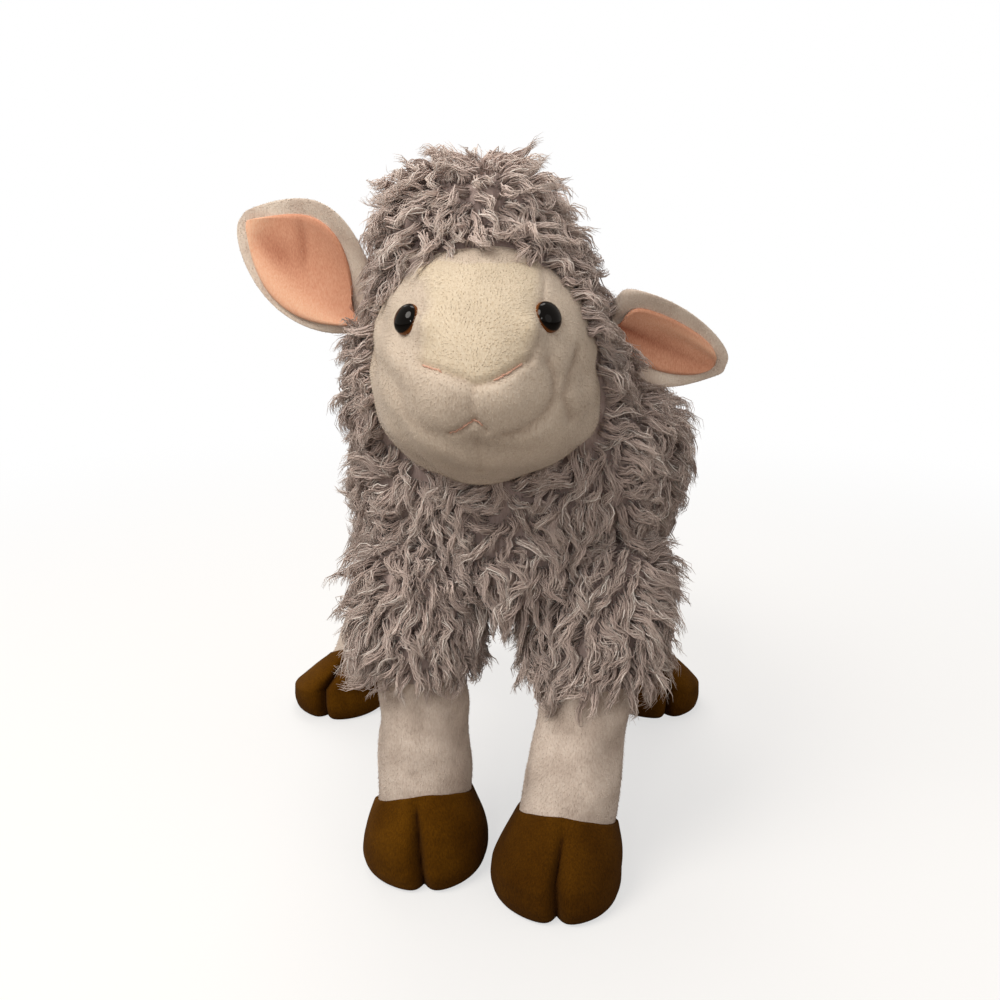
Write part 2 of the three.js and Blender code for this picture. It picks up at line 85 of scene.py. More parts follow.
# %% The camera
PICTURE = 1000
FOCAL_PX = 1100
PITCH = math.radians(15)
EYE_POINT = JOINTS["head_nod"] + np.array([4, -536, 87]) * MM

camera_data = bpy.data.cameras.new("camera")
camera_data.sensor_width = 36
camera_data.lens = camera_data.sensor_width * FOCAL_PX / PICTURE
camera_data.clip_start = 10 * MM
camera = bpy.data.objects.new("camera", camera_data)
scene.collection.objects.link(camera)
camera.location = EYE_POINT
camera.rotation_euler = (math.pi / 2 - PITCH, 0, 0)
scene.camera = camera
print("lens:", round(camera_data.lens, 1), "mm")

# %% Rays through the picture
def ray_through(pixel):
    """The direction from the camera through a point of the 1000 pixel picture."""
    across = (pixel[0] - PICTURE / 2) / FOCAL_PX
    up = (PICTURE / 2 - pixel[1]) / FOCAL_PX
    forward = np.array([0, math.cos(PITCH), -math.sin(PITCH)])
    upward = np.array([0, math.sin(PITCH), math.cos(PITCH)])
    ray = forward + across * np.array([1, 0, 0]) + up * upward
    return ray / np.linalg.norm(ray)


def picture_of(points):
    """Where points show in the picture, in pixels."""
    from_eye = points - EYE_POINT
    depth = from_eye[:, 1] * math.cos(PITCH) - from_eye[:, 2] * math.sin(PITCH)
    up = from_eye[:, 1] * math.sin(PITCH) + from_eye[:, 2] * math.cos(PITCH)
    return np.stack([from_eye[:, 0], -up], -1) / depth[:, None] * FOCAL_PX + PICTURE / 2


def within(pixels, outline):
    """True for pixels inside a closed outline."""
    inside = np.zeros(len(pixels), bool)
    x, y = pixels.T
    for (x0, y0), (x1, y1) in zip(outline, outline[1:] + outline[:1]):
        crosses = (y0 > y) != (y1 > y)
        inside ^= crosses & (x < x0 + (y - y0) / (y1 - y0 + 1e-9) * (x1 - x0))
    return inside


def onto(tree, pixels):
    """Where the rays through some pixels meet a surface."""
    hits = [tree.ray_cast(Vector(EYE_POINT), Vector(ray_through(pixel)))[0] for pixel in pixels]
    return np.array([hit for hit in hits if hit is not None])

# %% [markdown]
# Every surface is made from arrays of points. A mesh is filled from numpy arrays in one go, which is
# quick even for the fleece with its many thousands of fibres. A loft joins rings of points into a
# closed skin, and a welded lump of simple forms is remeshed and smoothed into one soft body.

# %% Mesh helpers
def unit(vectors):
    length = np.linalg.norm(vectors, axis=-1, keepdims=True)
    return vectors / np.maximum(length, 1e-9)


def hill(values, width):
    """1 where the values are 0, and next to nothing three widths away."""
    return np.exp(-(values / width) ** 2)


def circle(sides, one, other):
    """Points round the unit circle that two directions span."""
    turn = np.linspace(0, 2 * math.pi, sides, endpoint=False)[:, None]
    return np.cos(turn) * one + np.sin(turn) * other


def turn_about(axis, angle):
    """The matrix of a turn about axis 0, 1 or 2."""
    one, other = (axis + 1) % 3, (axis + 2) % 3
    matrix = np.eye(3)
    matrix[one, one] = matrix[other, other] = math.cos(angle)
    matrix[other, one] = math.sin(angle)
    matrix[one, other] = -math.sin(angle)
    return matrix


def build(name, points, quads=(), tris=(), material=None):
    """A smooth shaded object from points, four-sided faces and three-sided faces."""
    quads = np.asarray(quads, np.int32).reshape(-1, 4)
    tris = np.asarray(tris, np.int32).reshape(-1, 3)
    sizes = np.concatenate([np.full(len(quads), 4), np.full(len(tris), 3)]).astype(np.int32)
    corners = np.concatenate([quads.ravel(), tris.ravel()])
    mesh = bpy.data.meshes.new(name)
    mesh.vertices.add(len(points))
    mesh.vertices.foreach_set("co", np.asarray(points, np.float32).ravel())
    mesh.loops.add(len(corners))
    mesh.loops.foreach_set("vertex_index", corners)
    mesh.polygons.add(len(sizes))
    mesh.polygons.foreach_set("loop_start", np.cumsum(sizes, dtype=np.int32) - sizes)
    mesh.polygons.foreach_set("use_smooth", np.ones(len(sizes), bool))
    mesh.update(calc_edges=True)
    piece = bpy.data.objects.new(name, mesh)
    scene.collection.objects.link(piece)
    if material:
        mesh.materials.append(material)
    return piece


def loft(rings):
    """Points, quads and triangles of a closed skin over rings of shape (rows, sides, 3)."""
    rows, sides = rings.shape[:2]
    start = np.arange(rows - 1)[:, None] * sides
    here = np.arange(sides)[None, :]
    after = (here + 1) % sides
    quads = np.stack([start + here, start + after, start + sides + after, start + sides + here], -1)
    ends = [rings[0].mean(0), rings[-1].mean(0)]
    points = np.concatenate([rings.reshape(-1, 3), ends])
    last = (rows - 1) * sides
    foot = np.stack([after[0], here[0], np.full(sides, rows * sides)], -1)
    top = np.stack([last + here[0], last + after[0], np.full(sides, rows * sides + 1)], -1)
    return points, quads.reshape(-1, 4), np.concatenate([foot, top])


def joined(skins):
    """Several skins of points, quads and triangles as one."""
    starts = np.cumsum([0] + [len(skin[0]) for skin in skins[:-1]])
    points = np.concatenate([skin[0] for skin in skins])
    quads, tris = (np.concatenate([skin[k] + start for skin, start in zip(skins, starts)]) for k in (1, 2))
    return points, quads, tris


def paint(piece, name, values):
    """Gives each point of a piece three numbers, which a material can read as a colour."""
    values = np.asarray(values, np.float32)
    rows = np.concatenate([values, np.ones((len(values), 1), np.float32)], axis=1)
    layer = piece.data.color_attributes.new(name, "FLOAT_COLOR", "POINT")
    layer.data.foreach_set("color", rows.ravel())


def points_of(piece):
    places = np.empty(len(piece.data.vertices) * 3, np.float32)
    piece.data.vertices.foreach_get("co", places)
    return places.reshape(-1, 3).astype(float)


def normals_of(piece):
    normals = np.empty(len(piece.data.vertices) * 3, np.float32)
    piece.data.vertices.foreach_get("normal", normals)
    return normals.reshape(-1, 3).astype(float)


def move_points(piece, places):
    piece.data.vertices.foreach_set("co", np.asarray(places, np.float32).ravel())
    piece.data.update()


def tree_of(piece):
    faces = [tuple(face.vertices) for face in piece.data.polygons]
    return BVHTree.FromPolygons(points_of(piece).tolist(), faces)


def dress(piece, body, slot, *nodes, fill=None):
    """Hangs a piece on its body and hides the CAD nodes it stands for. The finish and fullness are not
    used.
    """
    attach(piece, body)
    if nodes:
        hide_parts(*nodes)

# %% Soft bodies
GLOBE = {"rows": 40, "sides": 56}


def globe(half, centre, power=2.0, bend=None):
    """A closed lump with its poles on Y: an ellipsoid, made boxy by a power above 2."""
    polar = np.linspace(0.02, math.pi - 0.02, GLOBE["rows"])[:, None]
    turn = np.linspace(0, 2 * math.pi, GLOBE["sides"], endpoint=False)[None, :]
    rings = np.stack([
        np.sin(polar) * np.cos(turn),
        -np.cos(polar) * np.ones_like(turn),
        -np.sin(polar) * np.sin(turn),
    ], -1)
    size = (np.abs(rings) ** power).sum(-1, keepdims=True) ** (1 / power)
    rings = rings / size * half
    if bend:
        rings = bend(rings)
    return loft(rings + centre)


def relax(piece, rounds, share=0.5):
    """Draws each point towards the middle of its neighbours, which rounds off creases."""
    edges = np.empty(len(piece.data.edges) * 2, np.int32)
    piece.data.edges.foreach_get("vertices", edges)
    one, other = edges.reshape(-1, 2).T
    places = points_of(piece)
    count = np.bincount(one, minlength=len(places)) + np.bincount(other, minlength=len(places))
    for _ in range(rounds):
        total = np.zeros_like(places)
        np.add.at(total, one, places[other])
        np.add.at(total, other, places[one])
        places += share * (total / count[:, None] - places)
    move_points(piece, places)


def soft_body(name, lumps, voxel, rounds, material):
    """Welds closed lumps into one body by a voxel remesh, and rounds the joins."""
    rough = build(name + "_rough", *joined(lumps))
    remesh = rough.modifiers.new("weld", "REMESH")
    remesh.mode = "VOXEL"
    remesh.voxel_size = voxel
    mesh = bpy.data.meshes.new_from_object(rough.evaluated_get(bpy.context.evaluated_depsgraph_get()))
    bpy.data.objects.remove(rough)
    mesh.name = name
    mesh.materials.clear()
    mesh.materials.append(material)
    mesh.polygons.foreach_set("use_smooth", np.ones(len(mesh.polygons), bool))
    piece = bpy.data.objects.new(name, mesh)
    scene.collection.objects.link(piece)
    relax(piece, rounds)
    return piece

# %% [markdown]
# The finishes are node materials. Cloth is never one flat colour: fibres lie in drifts that catch the
# light differently. One shared node group, the pile drift, gives a soft mask of such drifts and a fine
# fibre height, and each cloth places it with its own sizes.

# %% Node helpers
def set_inputs(node, **values):
    """Sets each input of a node that is named, with underscores for spaces."""
    for name, value in values.items():
        node.inputs[name.replace("_", " ")].default_value = value


def add_node(tree, kind, **values):
    node = tree.nodes.new("ShaderNode" + kind)
    set_inputs(node, **values)
    return node


def wire(tree, *wires):
    """Links nodes. A wire is a node and its output, then a node and its input."""
    for start, output, end, entry in wires:
        tree.links.new(start.outputs[output], end.inputs[entry])


def fresh_material(name, **values):
    """A material, its shader with the values set, and its node tree."""
    material = bpy.data.materials.new(name)
    material.use_nodes = True
    shader = material.node_tree.nodes["Principled BSDF"]
    set_inputs(shader, **values)
    return material, shader, material.node_tree


def mix_colour(tree, mask, low, high, blend="MIX"):
    """A colour that goes from low to high with a mask. Each may be a value or a socket."""
    mix = add_node(tree, "Mix")
    mix.data_type = "RGBA"
    mix.blend_type = blend
    ends = {entry.name: entry for entry in mix.inputs if entry.type == "RGBA"}
    for end, value in ((mix.inputs["Factor"], mask), (ends["A"], low), (ends["B"], high)):
        if isinstance(value, (float, tuple)):
            end.default_value = value
        else:
            tree.links.new(value, end)
    return next(entry for entry in mix.outputs if entry.type == "RGBA")


def spread(tree, value, low, high):
    """Stretches a value between two limits to 0 to 1."""
    limits = add_node(tree, "MapRange", From_Min=low, From_Max=high)
    tree.links.new(value, limits.inputs["Value"])
    return limits.outputs["Result"]


def painted(tree, name):
    """The three numbers that are painted on the points of a piece."""
    layer = add_node(tree, "Attribute")
    layer.attribute_name = name
    parts = add_node(tree, "SeparateColor")
    wire(tree, (layer, "Color", parts, "Color"))
    return parts.outputs["Red"], parts.outputs["Green"], parts.outputs["Blue"]

# %% The pile drift group
def pile_drift_group():
    group = bpy.data.node_groups.new("pile_drift", "ShaderNodeTree")
    sockets = (("Drift Scale", "INPUT"), ("Fibre Scale", "INPUT"), ("Drift", "OUTPUT"), ("Fibre", "OUTPUT"))
    for name, direction in sockets:
        group.interface.new_socket(name, in_out=direction, socket_type="NodeSocketFloat")
    given = group.nodes.new("NodeGroupInput")
    result = group.nodes.new("NodeGroupOutput")
    where = add_node(group, "TexCoord")
    drift = add_node(group, "TexNoise", Detail=3)
    fibre = add_node(group, "TexNoise", Detail=2, Roughness=0.6)
    stretch = add_node(group, "Mapping", Scale=(1, 1, 0.35))
    wire(group,
         (where, "Object", drift, "Vector"), (given, "Drift Scale", drift, "Scale"),
         (where, "Object", stretch, "Vector"), (stretch, "Vector", fibre, "Vector"),
         (given, "Fibre Scale", fibre, "Scale"),
         (drift, "Fac", result, "Drift"), (fibre, "Fac", result, "Fibre"))
    return group


PILE_DRIFT = pile_drift_group()

# %% Cloth materials
def srgb(red, green, blue):
    """A colour given as 0 to 255 display values, in the linear values that shaders use."""
    shares = np.array([red, green, blue]) / 255
    linear = np.where(shares <= 0.04045, shares / 12.92, ((shares + 0.055) / 1.055) ** 2.4)
    return (*linear.tolist(), 1.0)


def cloth(name, hollow, raised, scales, bump, rough=0.85, sheen=0.25, deep=None, pale=None, gloss=0.2):
    """A short-piled cloth whose colour drifts between two tones, with its fibres as a fine bump.

    The scales are those of the drifts and the fibres. Where the points of a piece are painted, red takes
    the cloth to a deep tone, which is painted shade, and green to a pale one: the face's pale panel, and a
    painted highlight on the rolled edges of the ear linings.
    """
    material, shader, tree = fresh_material(
        name, Roughness=rough, Sheen_Weight=sheen, Sheen_Roughness=0.5, Specular_IOR_Level=gloss)
    drift = add_node(tree, "Group")
    drift.node_tree = PILE_DRIFT
    set_inputs(drift, Drift_Scale=scales[0], Fibre_Scale=scales[1])
    colour = mix_colour(tree, spread(tree, drift.outputs["Drift"], 0.32, 0.68), hollow, raised)
    red, green, _ = painted(tree, "shade")
    for channel, tone in ((green, pale), (red, deep)):
        if tone:
            colour = mix_colour(tree, channel, colour, tone)
    flecks = spread(tree, drift.outputs["Fibre"], 0.25, 0.75)
    colour = mix_colour(tree, 0.35, colour, flecks, "SOFT_LIGHT")
    tree.links.new(colour, shader.inputs["Base Color"])
    relief = add_node(tree, "Bump", Strength=bump, Distance=0.6 * MM)
    wire(tree, (drift, "Fibre", relief, "Height"), (relief, "Normal", shader, "Normal"))
    return material


# The face's deep tone is painted shade in its seams.
FACE_PLUSH = cloth("face_plush", srgb(202, 187, 171), srgb(218, 203, 186), (45, 1400), 0.3,
                   deep=srgb(156, 130, 110), pale=srgb(216, 201, 178))
LEG_PLUSH = cloth("leg_plush", srgb(194, 178, 166), srgb(224, 210, 198), (70, 1400), 0.35)
EAR_PLUSH = cloth("ear_plush", srgb(210, 192, 178), srgb(232, 219, 205), (60, 1400), 0.35)
# The lining's deep tone is painted shade in its hollow and crease, its pale tone a painted highlight on its
# rolled edge.
EAR_LINING = cloth("ear_lining", srgb(214, 152, 122), srgb(226, 166, 136), (40, 1800), 0.2, 0.7,
                   deep=srgb(168, 104, 78), pale=srgb(240, 188, 156))
# The felt's deep tone is painted shade: down the cleft, and over the whole front left hoof.
HOOF_FELT = cloth("hoof_felt", srgb(78, 46, 1), srgb(96, 60, 5), (55, 1500), 0.5, 0.95, 0.01,
                  deep=srgb(40, 17, 2), gloss=0.08)
BACKING = cloth("fleece_backing", srgb(150, 133, 129), srgb(176, 158, 153), (60, 700), 0.6, 0.95)
print("materials:", len(bpy.data.materials))

# %% [markdown]
# Curly fleece is a knitted backing with long fibres that clump into wavy locks. Hair curves would
# leave no surface to print or measure, so each fibre is a real tapered tube with three sides. A lock
# is a bundle of them about one wavy spine: it rises from the backing, leans over and hangs, and its
# fibres gather towards the tip. Each point of a fibre carries three numbers for the material: how far
# along the fibre it is, the tone of its lock and the tone of the fibre.

# %% The fleece material
FLEECE_TONES = {
    "root": srgb(182, 163, 155),
    "middle": srgb(212, 193, 185),
    "tip": srgb(230, 213, 203),
    "glint": srgb(250, 243, 236),
}


def fleece_material():
    """Fleece that lightens from root to tip, with locks of different tones and a few bright fibres."""
    material, shader, tree = fresh_material(
        "curly_fleece", Roughness=0.45, Sheen_Weight=0.3, Specular_IOR_Level=0.45)
    along, lock, fibre = painted(tree, "strand")
    tones = FLEECE_TONES
    lower = mix_colour(tree, spread(tree, along, 0.0, 0.4), tones["root"], tones["middle"])
    whole = mix_colour(tree, spread(tree, along, 0.4, 1.0), lower, tones["tip"])
    shaded = mix_colour(tree, spread(tree, lock, 1.0, 0.0), whole, tones["root"])
    bright = mix_colour(tree, spread(tree, fibre, 0.8, 1.0), shaded, tones["glint"])
    tree.links.new(bright, shader.inputs["Base Color"])
    return material


FLEECE = fleece_material()
print("fleece tones:", len(FLEECE_TONES))

# %% Where locks grow
def thin_out(points, spacing):
    """The rows of points that stay when none may lie closer to a kept one than the spacing."""
    cells, kept = {}, []
    keys = np.floor(points / spacing).astype(int)
    near = [(i, j, k) for i in (-1, 0, 1) for j in (-1, 0, 1) for k in (-1, 0, 1)]
    limit = spacing * spacing
    for row, ((i, j, k), (px, py, pz)) in enumerate(zip(keys.tolist(), points.tolist())):
        crowded = any(
            (x - px) ** 2 + (y - py) ** 2 + (z - pz) ** 2 < limit
            for a, b, c in near
            for x, y, z in cells.get((i + a, j + b, k + c), ())
        )
        if not crowded:
            cells.setdefault((i, j, k), []).append((px, py, pz))
            kept.append(row)
    return np.array(kept)


def scatter(piece, spacing, rng):
    """Evenly spread places on a surface, with the surface's smooth direction at each."""
    piece.data.calc_loop_triangles()
    corners = np.empty(len(piece.data.loop_triangles) * 3, np.int32)
    piece.data.loop_triangles.foreach_get("vertices", corners)
    corners = corners.reshape(-1, 3)
    places, normals = points_of(piece), normals_of(piece)
    one, two, three = (places[corners[:, i]] for i in range(3))
    area = np.linalg.norm(np.cross(two - one, three - one), axis=1) / 2
    tries = int(3.2 * area.sum() / spacing ** 2)
    pick = rng.choice(len(area), tries, p=area / area.sum())
    first = np.sqrt(rng.random(tries))
    second = rng.random(tries)
    shares = np.stack([1 - first, first * (1 - second), first * second], -1)[..., None]
    found = (places[corners[pick]] * shares).sum(1)
    facing = unit((normals[corners[pick]] * shares).sum(1))
    rows = thin_out(found, spacing)
    return found[rows], facing[rows]


def outside_of(tree, points, clearance):
    """True for points that lie further out of a closed surface than the clearance.

    Points inside count as minus their depth, so a clearance below nothing keeps the shallow ones.
    """
    answer = np.ones(len(points), bool)
    for row, point in enumerate(points):
        near, normal, _, distance = tree.find_nearest(Vector(point))
        inside = (Vector(point) - near).dot(normal) < 0
        answer[row] = (-distance if inside else distance) > clearance
    return answer

# %% The comb
DOWN = np.array([0, 0, -1.0])


def waves(points, size, seed):
    """A smooth random number near 0 at each point, in drifts of about the given size."""
    rng = np.random.default_rng(seed)
    total = np.zeros(len(points))
    for _ in range(6):
        heading = unit(rng.normal(size=3)) * (2 * math.pi / size) * rng.uniform(0.6, 1.4)
        total += np.sin(points @ heading + rng.uniform(0, 2 * math.pi))
    return total / math.sqrt(6 / 2)


def comb(points, normals, towards, swirl, seed):
    """The way each lock falls: along the surface towards a direction, turned by a smooth swirl."""
    flat = towards - (towards * normals).sum(-1, keepdims=True) * normals
    flat = unit(flat + 1e-4)
    side = np.cross(normals, flat)
    angle = (waves(points, 26 * MM, seed) * swirl)[:, None]
    return unit(np.cos(angle) * flat + np.sin(angle) * side)

# %% Tubes
MOST_TRIANGLES = 190_000


def tubes(name, lines, radii, tones, across, material):
    """One object of tapered tubes. The radii have a value for each line, ring and side."""
    count, rings, sides = radii.shape
    ahead = unit(np.gradient(lines, axis=1))
    side = unit(np.cross(ahead, across[:, None, :]))
    other = np.cross(ahead, side)
    turn = np.arange(sides) * 2 * math.pi / sides
    round_about = np.cos(turn)[:, None] * side[:, :, None, :] + np.sin(turn)[:, None] * other[:, :, None, :]
    points = lines[:, :, None, :] + radii[..., None] * round_about
    start = (np.arange(count) * rings * sides)[:, None, None]
    ring = (np.arange(rings - 1) * sides)[None, :, None]
    here = np.arange(sides)[None, None, :]
    low = start + ring + here
    low_after = start + ring + (here + 1) % sides
    quads = np.stack([low, low_after, low_after + sides, low + sides], -1).reshape(-1, 4)
    root = start[:, 0, 0]
    tip = root + (rings - 1) * sides
    caps = [np.stack([root, root + k + 1, root + k], -1) for k in range(1, sides - 1)]
    caps += [np.stack([tip, tip + k, tip + k + 1], -1) for k in range(1, sides - 1)]
    piece = build(name, points.reshape(-1, 3), quads, np.concatenate(caps), material)
    paint(piece, "strand", np.broadcast_to(tones, (count, rings, sides, 3)).reshape(-1, 3))
    return piece

# %% Locks
LOCK_RINGS = 7
FIBRE_SIDES = 3


def lock_spines(roots, normals, fall, style, rng):
    """Wavy lines that rise from the roots and lean over, and two directions across them."""
    count = len(roots)
    step = np.linspace(0, 1, LOCK_RINGS)[None, :, None]
    length = style["length"] * rng.uniform(0.7, 1.25, (count, 1, 1))
    rise = style["rise"] + rng.normal(0, 12, (count, 1, 1))
    tilt = style["tilt"] + rng.normal(0, 14, (count, 1, 1))
    lean = np.radians(rise + (tilt - rise) * step ** 0.8)
    heading = np.cos(lean) * normals[:, None, :] + np.sin(lean) * fall[:, None, :]
    travel = np.cumsum(heading, axis=1) - heading
    spine = roots[:, None, :] + travel / (LOCK_RINGS - 1) * length
    side = np.cross(fall, normals)[:, None, :] * np.ones_like(step)
    over = np.cross(heading, side)
    turns = rng.uniform(*style["turns"], (count, 1, 1)) * rng.choice([-1, 1], (count, 1, 1))
    angle = rng.uniform(0, 2 * math.pi, (count, 1, 1)) + turns * 2 * math.pi * step
    wave = style["curl"] * rng.uniform(0.5, 1.5, (count, 1, 1)) * step ** 0.7
    spine = spine + wave * (np.cos(angle) * side + 0.7 * np.sin(angle) * over)
    return spine, side, over


def lock_fibres(name, spine, side, over, tone, style, rng):
    """The fibres of each lock: they leave the backing spread out and draw together towards the tip."""
    count, each = len(spine), style["fibres"]
    shape = (count, each, 1, 1)
    step = np.linspace(0, 1, LOCK_RINGS)[None, None, :, None]
    place = rng.uniform(0, 2 * math.pi, shape) + rng.uniform(-0.8, 0.8, shape) * step
    gathered = 1 - (1 - style["gather"]) * np.sin(0.5 * math.pi * step)
    reach = style["spread"] * np.sqrt(rng.random(shape)) * gathered
    stray = np.where(rng.random(shape) < style["stray"], 2.6, 1.0)
    frizz = style["frizz"] * stray * step ** 0.8
    wobble = rng.uniform(0.6, 2.0, shape) * 2 * math.pi * step + rng.uniform(0, 6, shape)
    lines = spine[:, None] + (reach * np.cos(place) + frizz * np.sin(wobble)) * side[:, None]
    lines = lines + (reach * np.sin(place) + frizz * np.cos(wobble)) * over[:, None]
    along = rng.uniform(-0.3, 0.12, shape) * style["length"] * step
    lines = lines + along * unit(spine[:, None, -1:] - spine[:, None, :1])
    thick = rng.uniform(style["fine"], style["thick"], shape)
    radii = thick * (1 - 0.88 * step ** 2) * np.ones(FIBRE_SIDES)
    flat = count * each
    parts = (step, tone[:, None, None, None], rng.random(shape))
    tones = np.stack([np.broadcast_to(part, radii.shape) for part in parts], -1)
    lines = lines.reshape(flat, LOCK_RINGS, 3)
    across = np.repeat(side[:, 0], each, axis=0)
    shape = (flat, LOCK_RINGS, FIBRE_SIDES)
    return tubes(name, lines, radii.reshape(shape), tones.reshape(*shape, 3), across, FLEECE)


def lock_pieces(name, roots, normals, fall, style, rng, body, reach=None):
    """Grows the locks of one cloth and splits them into pieces of a handy size.

    The reach lengthens or shortens each lock.
    """
    reach = np.ones(len(roots)) if reach is None else reach
    cost = style["fibres"] * (2 * FIBRE_SIDES * (LOCK_RINGS - 1) + 2)
    parts = max(1, math.ceil(len(roots) * cost / MOST_TRIANGLES))
    order = np.argsort(roots[:, 1])
    for number, rows in enumerate(np.array_split(order, parts), 1):
        label = name if parts == 1 else f"{name}_{number}"
        spine, side, over = lock_spines(roots[rows], normals[rows], fall[rows], style, rng)
        start = roots[rows][:, None, :]
        spine = start + (spine - start) * reach[rows][:, None, None]
        tone = np.clip(style["tone"] + 0.16 * rng.normal(size=len(rows)), 0, 1)
        dress(lock_fibres(label, spine, side, over, tone, style, rng), body, "curly_fleece")
    print(name, "locks:", len(roots), "parts:", parts)

# %% [markdown]
# The body is a boxy barrel with shoulders that rise round the neck. The CAD box of the body panels is
# the outside of the fleece, so the backing lies a pile depth below it. The neck, the hips and the tail
# are where the joints are.

# %% Body sizes from the frame
PILE = 9 * MM
panel_low, panel_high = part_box("torso_panel_right")[0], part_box("torso_panel_left")[1]
BARREL_POWER = 2.4
BARREL = {"height": 128 * MM, "belly": 123 * MM}
RUMP_TAPER = 0.08
SHOULDERS = {"size": np.array([173, 132, 110]) * MM, "top": 266 * MM, "aside": 3.5 * MM}
SHOULDER_POWER = 2.6
BRISKET = {"half": np.array([24, 18, 21]) * MM, "behind": 23 * MM, "height": 161 * MM}
seam_x = (panel_low.x + panel_high.x) / 2
barrel_middle = np.array([seam_x, (panel_low.y + panel_high.y) / 2, BARREL["belly"] + BARREL["height"] / 2])
barrel_half = np.array([panel_high.x - panel_low.x, panel_high.y - panel_low.y, BARREL["height"]]) / 2
shoulder_half = SHOULDERS["size"] / 2
shoulder_middle = np.array([
    seam_x + SHOULDERS["aside"],
    panel_low.y + shoulder_half[1],
    SHOULDERS["top"] - shoulder_half[2],
])
brisket_middle = np.array([seam_x, panel_low.y + BRISKET["behind"], BRISKET["height"]])
print("barrel half size:", np.round(barrel_half, 3), "front:", round(panel_low.y, 3))

# %% The body's backing
def rump_taper(rings):
    back = np.clip(rings[..., 1:2] / barrel_half[1], 0, 1)
    rings[..., 0:1] *= 1 - RUMP_TAPER * back ** 2
    return rings


torso_skin = soft_body("torso_backing", [
    globe(barrel_half - PILE, barrel_middle, BARREL_POWER, rump_taper),
    globe(shoulder_half - PILE, shoulder_middle, SHOULDER_POWER),
    globe(BRISKET["half"], brisket_middle),
], 4 * MM, 12, BACKING)
dress(torso_skin, "torso", "curly_fleece",
      "torso_panel_right", "torso_panel_left", "belly_panel", "torso_stuffing", fill=0.8)
torso_tree = tree_of(torso_skin)
print("torso backing points:", len(torso_skin.data.vertices))

# %% [markdown]
# The head is measured from the ball at the neck and turned a little. The hood is an egg of fleece with
# a tuft on top, a brow beside it and a ruff on both sides. The face is a longer egg of short plush that
# stands out of it.

# %% Head sizes
NECK = JOINTS["head_nod"]
HEAD_TURN = math.radians(-4.5)
HOOD = {"half": np.array([57, 54, 60]) * MM, "middle": np.array([-2, -26, 41]) * MM}
TUFT = {"half": np.array([34, 33, 23]) * MM, "middle": np.array([1, -35, 88]) * MM}
BROW = {"half": np.array([27, 28, 29]) * MM, "middle": np.array([-18, -27, 74]) * MM}
NECK_BALL = 53 * MM
RUFF = {"half": np.array([27, 30, 40]) * MM, "middle": np.array([37, -14, 4]) * MM}
FACE = {"half": np.array([50, 64, 55]) * MM, "middle": np.array([0, -38, 19.5]) * MM, "nape": 44 * MM}
JOWLS = {"right": 0.10, "left": 0.22}
MUZZLE = {"bulge": 5 * MM, "half_width": 31 * MM, "half_height": 23 * MM, "drop": 6 * MM}
TURN = turn_about(2, HEAD_TURN)


def in_head(points):
    """Places measured from the neck, put into the turned head."""
    return points @ TURN.T + NECK


def from_head(points):
    return (points - NECK) @ TURN

# %% The hood's backing
def turned(lump):
    return in_head(lump[0]), lump[1], lump[2]


hood_skin = soft_body("hood_backing", [
    turned(globe(HOOD["half"] - PILE, HOOD["middle"])),
    turned(globe(TUFT["half"] - PILE, TUFT["middle"])),
    turned(globe(BROW["half"], BROW["middle"])),
    turned(globe(np.full(3, NECK_BALL - PILE), np.zeros(3))),
    turned(globe(RUFF["half"], RUFF["middle"])),
    turned(globe(RUFF["half"], RUFF["middle"] * np.array([-1, 1, 1]))),
], 3.5 * MM, 10, BACKING)
dress(hood_skin, "head", "curly_fleece", "head_hood", "head_stuffing", fill=0.85)
hood_tree = tree_of(hood_skin)
print("hood backing points:", len(hood_skin.data.vertices))

# %% [markdown]
# The face is sewn from short plush: a pale panel down the forehead to the nose, cheeks beside it and a
# wide soft muzzle. The seams pull the cloth in, and a pink thread marks the nose and the mouth. The
# seams are grooves along lines that are found by looking through the camera at the plain egg.

# %% The face egg
def sphere_points(level):
    bpy.ops.mesh.primitive_ico_sphere_add(subdivisions=level, radius=1)
    ball = bpy.context.object
    points = unit(points_of(ball))
    faces = np.array([tuple(face.vertices) for face in ball.data.polygons])
    bpy.data.objects.remove(ball)
    return points, faces


def face_points(direction):
    """The egg of the face for unit directions, with its swollen muzzle, measured from the neck."""
    half = FACE["half"].copy()
    places = direction * half
    places[:, 1] = direction[:, 1] * np.where(direction[:, 1] < 0, half[1], FACE["nape"])
    low = np.sin(math.pi * np.clip(-direction[:, 2], 0, 1) ** 1.6)
    places[:, 0] *= 1 + low * np.where(direction[:, 0] > 0, JOWLS["left"], JOWLS["right"])
    aside = places[:, 0] / MUZZLE["half_width"]
    above = (places[:, 2] + MUZZLE["drop"]) / MUZZLE["half_height"]
    swell = np.exp(-aside ** 2 - above ** 2)
    places[:, 1] -= np.where(direction[:, 1] < 0, MUZZLE["bulge"] * swell, 0)
    return places + FACE["middle"]


directions, face_faces = sphere_points(7)
face = build("face", in_head(face_points(directions)), (), face_faces, FACE_PLUSH)
plain_face_tree = tree_of(face)
print("face points:", len(face.data.vertices))

